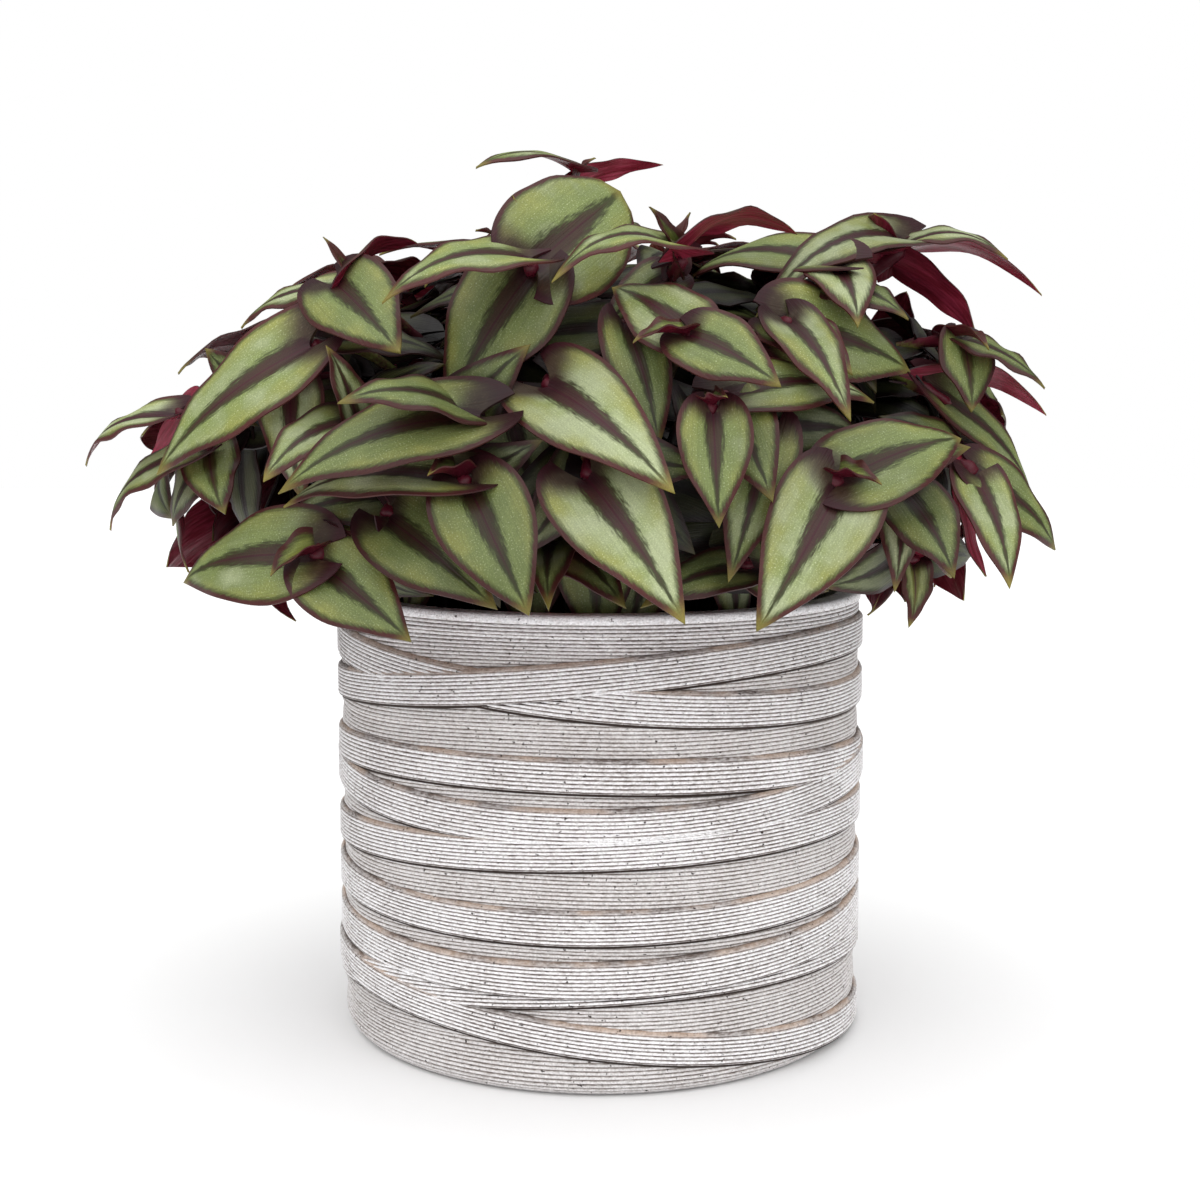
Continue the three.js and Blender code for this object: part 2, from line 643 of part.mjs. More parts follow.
// A front leaf keeps its place in the view and may lie a little nearer or farther to come clear
const SLIDES = [0, -1.5, 1.5, -3, 3, -4.5, 4.5, -6.5, 6.5, -9, 9, -12, 12, -15, 15, -19, 19, 24];
const LEANS = [[0, 0, 0], [0, 0, 0.3], [0.3, 0, 0], [-0.3, 0, 0], [0, 0, -0.3]];
const NODE_STEPS = [0, 1, 3];
const WAYS = LEANS.flatMap((lean) => NODE_STEPS.map((step) => ({ lean, step })));
function placeFrontLeaf(shoot, index, plan, order) {
  for (const { lean, step } of WAYS) {
    for (const slide of SLIDES) {
      const base = shoot.path.at(1 - NODE_STEP * (order + step));
      const leaf = {
        base,
        tip: add(tipAt(base, ...plan.tip, plan.length, plan.far), mul(sightLine(...plan.tip).along, slide)),
        face: add(plan.face, lean),
        width: plan.width,
        arch: plan.arch,
        fold: plan.fold ?? FOLD,
      };
      if (tryLeaf(leaf, index, false)) {
        shoot.leaves.push(leaf);
        return true;
      }
    }
  }
  return false;
}

// A leaf placed by rule: it leaves the stem to one side and lies along the dome. Each later try may turn
// farther and is smaller.
const VARY = { yaw: [0.3, 2.2], lift: [0.2, 1.2], roll: [0.3, 0.8], scale: [0.9, 0.25], shrink: 0.35 };
const RULE_ARCH = [0.08, 0.1];
const RULE_FOLD = [0.12, 0.15];
const UPTURN = [0, 0, 0.25];
function placeRuleLeaf(shoot, index, plan, draw, tries) {
  const base = shoot.path.at(plan.along);
  const out = domeNormal(base);
  const flat = unit(sub(shoot.steer, mul(out, dot(shoot.steer, out))));
  for (let attempt = 0; attempt < tries; attempt += 1) {
    const loose = attempt / tries;
    const yaw = plan.yaw + (draw() - 0.5) * (VARY.yaw[0] + VARY.yaw[1] * loose);
    const lift = plan.lift + (draw() - 0.5) * (VARY.lift[0] + VARY.lift[1] * loose);
    const scale = (VARY.scale[0] + VARY.scale[1] * draw()) * (1 - VARY.shrink * loose);
    const roll = (draw() - 0.5) * (VARY.roll[0] + VARY.roll[1] * loose);
    const across = turn(flat, out, yaw);
    const along = unit(add(mul(across, Math.cos(lift)), mul(out, Math.sin(lift))));
    const upper = sub(mul(out, Math.cos(lift)), mul(across, Math.sin(lift)));
    const leaf = {
      base,
      tip: add(base, mul(along, plan.length * scale)),
      face: add(turn(upper, along, roll), UPTURN),
      width: plan.width * scale,
      arch: RULE_ARCH[0] + RULE_ARCH[1] * draw(),
      fold: plan.fold ?? RULE_FOLD[0] + RULE_FOLD[1] * draw(),
    };
    if (tryLeaf(leaf, index, true)) {
      shoot.leaves.push(leaf);
      return true;
    }
  }
  return false;
}

// Each stem with the leaves of its crown, then leaves lower on the stems
function grow() {
  const draw = seeded(SEED);
  const shoots = FRONT_SHOOTS.map((plan) => ({
    plan,
    crownAt: (slide) => onDome(plan.crown[0], plan.crown[1], plan.inward + slide),
    leaves: [],
  }));
  for (const ring of RINGS) {
    for (let step = 0; step < ring.count; step += 1) {
      const share = (step + 0.5) / ring.count;
      const azimuth = ring.from + (ring.to - ring.from) * share + (draw() - 0.5) * AZIMUTH_DRAW;
      const elevation = ring.elevation + (draw() - 0.5) * ELEVATION_DRAW;
      const crown = lowDomePoint(azimuth, elevation, ring.share);
      shoots.push({ plan: null, crownAt: () => crown, leaves: [] });
    }
  }
  const planted = [];
  shoots.forEach((shoot, index) => {
    if (!plantStem(shoot, index)) return;
    planted.push(index);
    if (shoot.plan) shoot.plan.leaves.forEach((plan, order) => placeFrontLeaf(shoot, index, plan, order));
    else RING_LEAVES.forEach((plan) => placeRuleLeaf(shoot, index, plan, draw, RING_TRIES));
  });
  let count = 0;
  planted.forEach((index) => { count += shoots[index].leaves.length; });
  for (const along of FILL_HEIGHTS) {
    for (const index of planted) {
      const side = draw() < 0.5 ? 1 : -1;
      const plan = { ...FILL_LEAF, along, yaw: side * FILL_YAW };
      if (count < LEAF_BUDGET && placeRuleLeaf(shoots[index], index, plan, draw, FILL_TRIES)) count += 1;
    }
  }
  return planted.map((index) => shoots[index]).filter((shoot) => shoot.leaves.length > 0);
}

// A closed mesh as a solid for joining and cutting, and back
function toSolid(geometry, joined = 1e-5) {
  const bare = geometry.index ? geometry.clone() : geometry;
  bare.deleteAttribute('normal');
  bare.deleteAttribute('uv');
  const merged = mergeVertices(bare, joined);
  const corners = merged.index.array;
  const triangles = [];
  for (let first = 0; first < corners.length; first += 3) {
    const [a, b, c] = corners.slice(first, first + 3);
    if (a !== b && b !== c && c !== a) triangles.push(a, b, c);
  }
  return new wasm.Manifold(new wasm.Mesh({
    numProp: 3,
    vertProperties: new Float32Array(merged.attributes.position.array),
    triVerts: new Uint32Array(triangles),
  }));
}

function toGeometry(solid) {
  const mesh = solid.getMesh();
  const geometry = new THREE.BufferGeometry();
  geometry.setAttribute('position', new THREE.BufferAttribute(mesh.vertProperties, 3));
  geometry.setIndex(new THREE.BufferAttribute(mesh.triVerts, 1));
  return geometry;
}

// A closed mesh from rows of points, each row a closed loop, with the first and last rows capped
function loft(rows, closed) {
  const positions = rows.flat(2);
  const sides = rows[0].length;
  const triangles = [];
  const bands = closed ? rows.length : rows.length - 1;
  for (let row = 0; row < bands; row += 1) {
    const here = row * sides;
    const next = ((row + 1) % rows.length) * sides;
    for (let side = 0; side < sides; side += 1) {
      const other = (side + 1) % sides;
      triangles.push(here + side, here + other, next + other);
      triangles.push(here + side, next + other, next + side);
    }
  }
  if (!closed) {
    const last = (rows.length - 1) * sides;
    for (let side = 1; side < sides - 1; side += 1) {
      triangles.push(0, side + 1, side);
      triangles.push(last, last + side, last + side + 1);
    }
  }
  const geometry = new THREE.BufferGeometry();
  geometry.setAttribute('position', new THREE.BufferAttribute(new Float32Array(positions), 3));
  geometry.setIndex(triangles);
  return geometry;
}

// One leaf: a thin blade, its root sunk into the middle of the stem
function leafSolid(leaf, sunk) {
  const axes = bladeAxes(leaf);
  const up = mul(axes.face, BLADE / 2);
  const root = sub(leaf.base, mul(axes.along, sunk));
  const rows = [[root, root, root, root]];
  for (const t of BLADE_ROWS) {
    const rib = bladePoint(leaf, axes, t, 0);
    rows.push([bladePoint(leaf, axes, t, -1), add(rib, up), bladePoint(leaf, axes, t, 1), sub(rib, up)]);
  }
  rows.push([leaf.tip, leaf.tip, leaf.tip, leaf.tip]);
  return toSolid(loft(rows, false));
}

function stemSolid(path) {
  const section = new THREE.Shape();
  for (let side = 0; side < STEM_SIDES; side += 1) {
    const angle = 2 * Math.PI * side / STEM_SIDES;
    const corner = [STEM_RADIUS * Math.cos(angle), STEM_RADIUS * Math.sin(angle)];
    if (side === 0) section.moveTo(...corner);
    else section.lineTo(...corner);
  }
  const settings = { steps: STEM_STEPS, extrudePath: path, bevelEnabled: false };
  return toSolid(new THREE.ExtrudeGeometry(section, settings));
}

// The outer skin alone, without any pocket that joining has sealed
function outerBody(solid) {
  return solid.decompose().reduce((best, body) => (body.volume() > best.volume() ? body : best));
}

// Whether every edge of a merged mesh has exactly one face on each side
function isClosed(geometry) {
  const uses = new Map();
  const corners = mergeVertices(geometry, JOINED).index.array;
  for (let first = 0; first < corners.length; first += 3) {
    const face = corners.slice(first, first + 3);
    if (new Set(face).size === 3) {
      for (const [a, b] of [[face[0], face[1]], [face[1], face[2]], [face[2], face[0]]]) {
        const edge = Math.min(a, b) * 65536 + Math.max(a, b);
        uses.set(edge, (uses.get(edge) ?? 0) + 1);
      }
    }
  }
  return [...uses.values()].every((count) => count === 2);
}

// A stem and its leaves as one body. The roots are sunk a little deeper where that joins more cleanly.
function leafyStem(shoot) {
  let body;
  for (const sunk of ROOT_SINKS) {
    const whole = shoot.leaves.reduce((joined, leaf) => joined.add(leafSolid(leaf, sunk)), stemSolid(shoot.path));
    body = outerBody(toSolid(toGeometry(outerBody(whole).simplify(SIMPLER)), JOINED));
    if (isClosed(toGeometry(body))) break;
  }
  return body;
}

// The pot's turned body, from the middle of the floor out, up and back in
function potBody() {
  const profile = [new THREE.Vector2(0, 0)];
  const arc = (x, z, radius, from, to, steps) => {
    for (let step = 0; step <= steps; step += 1) {
      const angle = from + (to - from) * step / steps;
      profile.push(new THREE.Vector2(x + radius * Math.cos(angle), z + radius * Math.sin(angle)));
    }
  };
  const inside = POT_RADIUS - WALL;
  const lip = POT_HEIGHT - LIP_ROUND;
  arc(POT_RADIUS - FOOT_ROUND, FOOT_ROUND, FOOT_ROUND, -Math.PI / 2, 0, FOOT_STEPS);
  arc(POT_RADIUS - LIP_ROUND, lip, LIP_ROUND, 0, Math.PI / 2, 1);
  arc(inside + LIP_ROUND, lip, LIP_ROUND, Math.PI / 2, Math.PI, 1);
  profile.push(new THREE.Vector2(inside, FLOOR), new THREE.Vector2(0, FLOOR));
  const body = new THREE.LatheGeometry(profile, SEGMENTS);
  body.rotateX(Math.PI / 2);
  return toSolid(body);
}

// A strap's mid height round the pot: 0 is the right, a quarter turn is the back
function strapHeight(strap, angle) {
  const across = Math.cos(angle);
  const deep = Math.sin(angle);
  const sides = (strap.left + strap.right) / 2 + (strap.right - strap.left) / 2 * across;
  const ends = (strap.front + strap.back) / 2 + (strap.back - strap.front) / 2 * deep;
  const middle = (strap.left + strap.right + strap.front + strap.back) / 4;
  return sides + ends - middle;
}

function strapSolid(strap) {
  const rows = [];
  for (let step = 0; step < SEGMENTS; step += 1) {
    const angle = 2 * Math.PI * step / SEGMENTS;
    const middle = strapHeight(strap, angle);
    const point = (radius, z) => [radius * Math.cos(angle), radius * Math.sin(angle), z];
    const low = middle - strap.height / 2;
    const high = middle + strap.height / 2;
    const inner = POT_RADIUS - STRAP_SUNK;
    const outer = POT_RADIUS + STRAP_PROUD;
    rows.push([point(inner, low), point(inner, high), point(outer, high), point(outer, low)]);
  }
  return toSolid(loft(rows, true));
}

function potSolid() {
  return STRAPS.reduce((body, strap) => body.add(strapSolid(strap)), potBody()).simplify(POT_SIMPLER);
}

function cylinder(radius, bottom, top, sides) {
  const shape = new THREE.CylinderGeometry(radius, radius, top - bottom, sides);
  shape.rotateX(Math.PI / 2);
  shape.translate(0, 0, (top + bottom) / 2);
  return shape;
}

// Soil with a plain upright hole for each stem
function soilSolid(shoots) {
  const body = toSolid(cylinder(POT_RADIUS - WALL - SOIL_GAP, FLOOR + SOIL_GAP, SOIL_TOP, SEGMENTS));
  return shoots.reduce((soil, shoot) => {
    const hole = cylinder(HOLE_RADIUS, SOIL_TOP - HOLE_DEPTH, SOIL_TOP + HOLE_CLEAR, HOLE_SIDES);
    hole.translate(shoot.path.foot[0], shoot.path.foot[1], 0);
    return soil.subtract(toSolid(hole));
  }, body);
}

function named(name, solid, colour, roughness) {
  const material = new THREE.MeshStandardMaterial({ color: colour, roughness, metalness: 0 });
  const mesh = new THREE.Mesh(toGeometry(solid), material);
  mesh.name = name;
  return mesh;
}

const shoots = grow();
const group = new THREE.Group();
group.add(named('pot', potSolid(), 0xcfcacb, 0.85));
group.add(named('soil', soilSolid(shoots), 0x2e241d, 1));
shoots.forEach((shoot, index) => {
  const number = String(index + 1).padStart(2, '0');
  group.add(named(`leafy_stem_${number}`, leafyStem(shoot), 0x7f9a62, 0.5));
});

export default group;
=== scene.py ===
"""Potted tradescantia: finer pot, soil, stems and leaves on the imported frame, with materials and stage.

Blender works in metres here and the growing rule in millimetres, in the same frame: +Z is up, -Y is the
front, and the origin is the middle of the pot's flat base.
"""
import math
import random
from functools import partial

import bpy
import numpy as np
from bpy.props import FloatProperty, FloatVectorProperty, IntProperty, PointerProperty
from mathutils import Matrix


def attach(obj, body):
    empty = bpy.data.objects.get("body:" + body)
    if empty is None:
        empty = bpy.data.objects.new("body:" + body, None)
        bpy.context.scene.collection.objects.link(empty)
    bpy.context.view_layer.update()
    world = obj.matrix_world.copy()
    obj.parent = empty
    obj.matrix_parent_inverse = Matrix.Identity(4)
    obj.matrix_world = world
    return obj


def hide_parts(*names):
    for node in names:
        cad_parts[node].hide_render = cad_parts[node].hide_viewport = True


bl_info = {
    "name": "Potted tradescantia",
    "version": (1, 0, 0),
    "blender": (4, 5, 0),
    "location": "3D View > Sidebar > Plant",
    "description": "Builds a trailing tradescantia in a wrapped-strap clay pot",
    "category": "Object",
}

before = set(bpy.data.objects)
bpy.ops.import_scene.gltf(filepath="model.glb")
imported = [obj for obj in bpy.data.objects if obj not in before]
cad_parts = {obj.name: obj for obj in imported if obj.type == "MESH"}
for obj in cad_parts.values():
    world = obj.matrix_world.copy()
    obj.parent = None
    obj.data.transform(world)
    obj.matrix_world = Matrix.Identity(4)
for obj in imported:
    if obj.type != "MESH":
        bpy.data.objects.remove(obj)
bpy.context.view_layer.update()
MM = 0.001

# Pot, as in the part's source
POT_RADIUS = 74.4
POT_HEIGHT = 125
WALL = 6.5
FLOOR = 8
FOOT_ROUND = 5
LIP_ROUND = 1.2
LIP_BAND = 2.6
STRAP_SUNK = 0.9
SOIL_GAP = 0.3
SOIL_TOP = 113

# Each strap's height, then its mid height at the left, the front, the right and the back. A strap lies over
# those before it.
STRAPS = {
    "strap_under_rim_falling": (8.6, 112.6, 102.6, 98.8, 109.2),
    "strap_under_rim_rising": (8.4, 99.2, 109, 113.4, 103.6),
    "strap_upper": (8.2, 82, 84, 78.8, 77),
    "strap_middle": (8.6, 58.4, 64.4, 64, 58),
    "strap_upper_middle": (8.8, 76.8, 70.8, 78.6, 84),
    "strap_low_thin": (8.6, 18, 29.2, 26.2, 15),
    "strap_lower_middle": (8.6, 46, 44.8, 47.2, 48.4),
    "strap_lower": (8.8, 33.6, 31.2, 37, 39),
    "strap_foot_falling": (7.8, 23, 14.6, 5.2, 13.6),
}

# Stems and leaves, as in the part's source
STEM_RADIUS = 1.8
STEM_STEPS = 5
STEM_SINK = 8.6
STEM_RISE = 26
ROOT_SPACING = 7.4
ROOT_REACH = 56
NODE_STEP = 0.025
SHOULDER = 0.45
TAPER = 1.08
LOBE = 0.13
LOBE_FOLD = 0.45
LOBE_POWER = 4
FOLD = 0.16
CURL = 0.12
STRAP_PROUD = 1.4
RIM_CLEAR = 1.6
SIDE_CLEAR = 1.8
INSIDE_CLEAR = 1.6
SOIL_CLEAR = 1.6
DOME_CENTRE = np.array([-4.0, 0.0, 158.0])
DOME_RADII = np.array([134.0, 103.0, 86.0])
LOW_CENTRE = np.array([-4.0, 3.0, 157.0])
LOW_RADII = np.array([131.0, 106.0, 72.0])
FRONT_FROM = -30

# The camera of the front view: its distance and height in millimetres, its tilt down in radians, and its
# focal length, its middle and the side of its picture in pixels
VIEW_DISTANCE = 520
VIEW_HEIGHT = 179.1
VIEW_PITCH = 0.112
VIEW_FOCAL = 1805.6
VIEW_MIDDLE = (600.3, 600)
IMAGE_SIDE = 1200


def leaf(tip, length, width, face, arch, fold=FOLD, far=False, is_round=False, broad=1.0, nearer=0.0,
         facing=None):
    """A measured leaf: its tip's place in the front view, its size, and the way its upper side faces. Its
    finished form may be rounder, broader or slimmer than its solid and turned about its middle line, and
    its tip may lie nearer by some millimetres, or farther where the number is negative."""
    return {"tip": tip, "length": length, "width": width, "face": np.array(face, float), "arch": arch,
            "fold": fold, "far": far, "round": is_round, "broad": broad, "nearer": nearer, "facing": facing}


def shoot(name, crown, inward, *leaves):
    """A measured shoot: its crown's place in the front view, its depth in the dome, and its leaves."""
    return {"name": name, "crown": crown, "inward": inward, "leaves": leaves}


def front_shoots():
    """The shoots at the front, as they hang on the real plant."""
    return [
        shoot("front broad leaf", (588, 480), 5,
              leaf((688, 620), 45, 28, (0, -0.96, 0.28), 0.1)),
        shoot("middle broad leaf", (548, 388), 12,
              leaf((677, 490), 41, 27, (0, -0.9, 0.42), 0.1)),
        shoot("low middle leaf", (560, 548), 34,
              leaf((622, 608), 36, 17, (0.1, -0.8, 0.6), 0.12),
              leaf((548, 606), 34, 17, (-0.1, -0.8, 0.6), 0.1)),
        shoot("middle heart", (508, 406), -1,
              leaf((542, 514), 30, 21, (-0.05, -0.97, 0.2), 0.08, fold=0.35),
              leaf((520, 385), 8, 6, (0, -0.5, 0.8), 0.1, fold=1.1, broad=1.6)),
        shoot("front left crown", (318, 563), 3,
              leaf((412, 641), 32, 24, (0.1, -0.95, 0.3), 0.08, fold=0.25),
              leaf((181, 578), 44, 28, (-0.2, -0.85, 0.5), 0.12, far=True),
              leaf((270, 574), 14, 10, (0, -0.5, 0.85), 0.1, fold=1.1, broad=1.3)),
        shoot("front crown left of the middle", (470, 488), 0,
              leaf((528, 614), 35, 25, (0, -0.97, 0.25), 0.1, fold=0.2),
              leaf((282, 508), 48, 19, (-0.1, -0.6, 0.8), 0.14, far=True),
              leaf((429, 474), 14, 9, (0, -0.4, 0.9), 0.1, fold=1.1, broad=1.3)),
        shoot("front right crown", (838, 491), 1,
              leaf((760, 631), 41, 28, (0, -0.97, 0.25), 0.1, fold=0.2),
              leaf((965, 440), 38, 25, (0.1, -0.82, 0.58), 0.12, far=True),
              leaf((881, 483), 13, 8, (0, -0.5, 0.85), 0.1, fold=1.1, broad=1.3)),
        shoot("right heart", (713, 415), -1,
              leaf((716, 527), 30, 20, (0.05, -0.97, 0.2), 0.08, fold=0.35),
              leaf((728, 396), 8, 6, (0, -0.5, 0.8), 0.1, fold=1.1, broad=1.6)),
        shoot("upper middle leaf", (626, 325), 14,
              leaf((662, 444), 35, 17, (0.1, -0.93, 0.35), 0.08)),
        shoot("left of the middle", (481, 418), 10,
              leaf((276, 487), 52, 25, (-0.1, -0.75, 0.65), 0.12, far=True),
              leaf((341, 400), 36, 19, (-0.05, -0.62, 0.78), 0.14)),
        shoot("rim leaf", (745, 572), 15,
              leaf((640, 604), 32, 15, (-0.05, -0.75, 0.65), 0.12),
              leaf((830, 592), 30, 17, (0.3, -0.8, 0.4), 0.05, far=True)),
        shoot("dark low leaf", (388, 520), 10,
              leaf((493, 610), 36, 24, (0, -0.9, 0.42), 0.1),
              leaf((455, 560), 26, 18, (0, -0.9, 0.42), 0.1, far=True)),
        shoot("lower right crown", (974, 478), 12,
              leaf((1012, 588), 34, 18, (0.3, -0.9, 0.3), 0.08),
              leaf((1056, 551), 33, 18, (0.35, -0.8, 0.5), 0.12, far=True),
              leaf((984, 577), 28, 10, (-0.7, 0.6, 0.2), 0.08)),
        shoot("right rim twig", (912, 566), 12,
              leaf((912, 627), 18, 11, (0.3, -0.9, 0.2), 0.08, fold=0.4),
              leaf((803, 578), 32, 10, (0, 0.2, 0.9), 0.14, fold=0.4)),
        shoot("left side twig", (206, 455), 12,
              leaf((109, 528), 36, 16, (-0.35, -0.55, 0.75), 0.18, far=True),
              leaf((222, 514), 20, 17, (-0.2, -0.9, 0.4), 0.1)),
        shoot("far left crown", (175, 418), 4,
              leaf((83, 464), 32, 14, (-0.25, -0.45, 0.85), 0.16, far=True),
              leaf((133, 487), 25, 10, (0.5, 0.75, 0.3), 0.1)),
        shoot("big left leaf", (312, 347), 4,
              leaf((157, 476), 55, 27, (-0.35, -0.8, 0.5), 0.1, far=True)),
        shoot("up-turned leaf", (352, 425), 12,
              leaf((262, 478), 31, 19, (-0.3, -0.8, 0.5), 0.12),
              leaf((328, 345), 22, 12, (0.5, -0.8, 0.1), 0.05, fold=0.5)),
        shoot("left under leaf", (292, 385), 12,
              leaf((300, 500), 32, 19, (-0.2, -0.9, 0.35), 0.08),
              leaf((225, 465), 32, 17, (-0.3, -0.85, 0.4), 0.1, far=True)),
        shoot("top crown", (530, 264), -1,
              leaf((382, 298), 40, 21, (-0.2, -0.6, 0.8), 0.15),
              leaf((622, 192), 38, 30, (-0.05, -0.88, 0.45), 0.06, far=True, is_round=True, broad=1.12,
                   facing=(-0.1, -1, -0.05)),
              leaf((449, 412), 45, 31, (0, -0.96, 0.3), 0.08),
              leaf((512, 195), 19, 8, (0.3, -0.9, 0.2), 0.05, fold=1)),
        shoot("middle right crown", (690, 337), 0,
              leaf((779, 388), 28, 20, (0.1, -0.9, 0.4), 0.1),
              leaf((633, 340), 17, 10, (0, -0.3, 0.95), 0.1, fold=0.7),
              leaf((612, 286), 30, 21, (0, -0.85, 0.5), 0.1, far=True)),
        shoot("right middle leaf", (724, 403), 10,
              leaf((876, 401), 40, 21, (0.05, -0.65, 0.75), 0.14, far=True),
              leaf((770, 500), 30, 20, (0.05, -0.95, 0.3), 0.1)),
        shoot("upright crown", (683, 257), 4,
              leaf((550, 275), 37, 16, (-0.05, -0.45, 0.9), 0.2),
              leaf((798, 231), 35, 17, (0.05, 0.35, 0.95), 0.22, far=True),
              leaf((652, 206), 18, 9, (0.5, -0.7, 0.3), 0.05, fold=0.9),
              leaf((690, 212), 15, 7, (-0.5, -0.7, 0.3), 0.05, fold=0.9, far=True)),
        shoot("top right crown", (907, 247), 4,
              leaf((750, 310), 48, 20, (-0.05, -0.65, 0.75), 0.18, nearer=21),
              leaf((1009, 257), 30, 14, (0.05, -0.45, 0.88), 0.2),
              leaf((978, 337), 35, 18, (0.4, 0.75, 0.5), 0.15, broad=0.62),
              leaf((1039, 295), 42, 14, (0.2, 0.35, 0.9), 0.22, far=True),
              leaf((876, 212), 15, 14, (0.4, 0.7, 0.3), 0.1, fold=0.6, broad=1.3, nearer=14)),
        shoot("upper left crown", (337, 286), 1,
              leaf((399, 350), 28, 24, (-0.05, -0.92, 0.4), 0.06),
              leaf((418, 240), 28, 17, (0, 0.5, 0.85), 0.16, far=True),
              leaf((240, 328), 32, 13, (-0.3, -0.5, 0.8), 0.14, far=True),
              leaf((325, 236), 14, 7, (0.4, -0.7, 0.3), 0.05, fold=0.9)),
        shoot("highest crown", (575, 172), 16,
              leaf((478, 167), 30, 14, (0, -0.3, 0.95), 0.14),
              leaf((661, 165), 28, 14, (0, 0.15, 0.98), 0.14, far=True, broad=0.5, facing=(0.1, 0.85, 0.5)),
              leaf((594, 157), 12, 10, (0, -0.4, 0.9), 0.15, fold=0.5)),
        shoot("right side bud", (962, 340), 8,
              leaf((971, 411), 22, 17, (0.35, -0.85, 0.4), 0.05),
              leaf((1045, 387), 29, 13, (0.3, -0.5, 0.8), 0.1, far=True),
              leaf((990, 346), 10, 8, (0, 0.4, 0.9), 0.1, fold=0.9)),
        shoot("right side twig", (952, 404), 16,
              leaf((1036, 503), 38, 17, (0.4, -0.8, 0.4), 0.1, far=True),
              leaf((1047, 411), 29, 15, (0.2, 0.3, 0.9), 0.16, far=True)),
        shoot("right rim leaf", (906, 496), 10,
              leaf((957, 576), 27, 19, (0.1, -0.95, 0.3), 0.1),
              leaf((893, 592), 27, 14, (0.1, -0.95, 0.3), 0.1, far=True)),
        shoot("dark leaf", (792, 322), 12,
              leaf((912, 372), 38, 22, (0.1, -0.85, 0.5), 0.1, far=True, broad=1.3),
              leaf((850, 420), 32, 17, (0.1, -0.8, 0.6), 0.12)),
        shoot("lower right leaf", (775, 448), 12,
              leaf((726, 581), 36, 19, (-0.1, -0.93, 0.3), 0.1),
              leaf((905, 560), 44, 24, (0.2, -0.9, 0.35), 0.1, far=True)),
        shoot("behind the top right", (838, 268), 16,
              leaf((687, 277), 43, 21, (0, -0.6, 0.8), 0.14, nearer=-28)),
    ]


def added_leaves():
    """More leaves of the measured shoots, where gaps would show under the top right crown."""
    return {
        "behind the top right": [
            leaf((862, 324), 30, 20, (0.1, -0.7, 0.7), 0.12),
            leaf((800, 332), 30, 20, (-0.1, -0.7, 0.7), 0.12),
            leaf((908, 318), 30, 19, (0.3, -0.7, 0.6), 0.12)],
        "dark leaf": [
            leaf((852, 374), 30, 20, (0.1, -0.85, 0.5), 0.1)],
    }


# Shoots on the sides and the back stand in rings on the dome: elevation, count, azimuths, share of the dome
RINGS = [
    (-0.25, 5, 0.1, 3.04, 0.84),
    (0.15, 5, -0.5, 3.64, 0.86),
    (0.55, 4, -0.4, 3.54, 0.88),
    (0.98, 5, -0.7, 3.84, 0.88),
    (1.3, 5, -1.4, 4.5, 0.9),
]


def rule_leaf(along, yaw, length, width, lift, fold=None):
    """A leaf placed by rule: its place on the stem, its turn to the side, its size and how far it lifts."""
    return {"along": along, "yaw": yaw, "length": length, "width": width, "lift": lift, "fold": fold}


RING_LEAVES = [
    rule_leaf(0.955, 1.15, 42, 23, 0.1),
    rule_leaf(0.925, -1.15, 46, 25, 0.15),
    rule_leaf(0.985, 0.1, 38, 22, -0.15),
    rule_leaf(1, -0.35, 17, 8, 0.6, fold=1),
]
RING_TRIES = 30
AZIMUTH_DRAW = 0.2
ELEVATION_DRAW = 0.16

# Leaves lower on the stems: the solids have the first ones, and these pieces carry on with the rest
FILL_HEIGHTS = [0.93, 0.85, 0.77, 0.68, 0.6, 0.52, 0.45, 0.9, 0.8, 0.7, 0.62, 0.54]
FILL_YAW = 1.1
FILL_LENGTH = 42
FILL_WIDTH = 23
FILL_LIFT = 0.2
FILL_TRIES = 24

# Smaller leaves that close the gaps inside the plant
INNER_HEIGHTS = [0.94, 0.88, 0.83, 0.77, 0.71, 0.65, 0.59, 0.53]
INNER_LENGTH = 36
INNER_WIDTH = 21
INNER_TRIES = 12

# Leaves that hang inside the rim, all round, from the stems nearest to their places
RIM_FIRST = -2.85
RIM_LEAVES = 64
RIM_DEEP = 3.5
RIM_DROP = 9.5
RIM_LENGTH = (24, 34, 48)
RIM_SLIM = 0.7
RIM_STEM = (0.3, 0.97, 28)
RIM_ASIDE = 0.6
RIM_TRIES = 40


# Small vector functions, for one vector or rows of them
def dot(a, b):
    return a[..., 0] * b[..., 0] + a[..., 1] * b[..., 1] + a[..., 2] * b[..., 2]


def cross(a, b):
    x = a[..., 1] * b[..., 2] - a[..., 2] * b[..., 1]
    y = a[..., 2] * b[..., 0] - a[..., 0] * b[..., 2]
    z = a[..., 0] * b[..., 1] - a[..., 1] * b[..., 0]
    return np.stack([x, y, z], axis=-1)


def unit(a):
    return a * (1 / np.sqrt(dot(a, a)))[..., None]


def turn(a, axis, angle):
    along = axis * (dot(a, axis) * (1 - math.cos(angle)))[..., None]
    return a * math.cos(angle) + cross(axis, a) * math.sin(angle) + along


# The steps of the seeded draw, as in the part's source
DRAW_FACTOR = 1664525
DRAW_STEP = 1013904223
DRAW_RANGE = 4294967296


def seeded(seed):
    """A seeded draw from 0 to 1, the same on every run."""
    state = seed

    def draw():
        nonlocal state
        state = (state * DRAW_FACTOR + DRAW_STEP) % DRAW_RANGE
        return state / DRAW_RANGE
    return draw


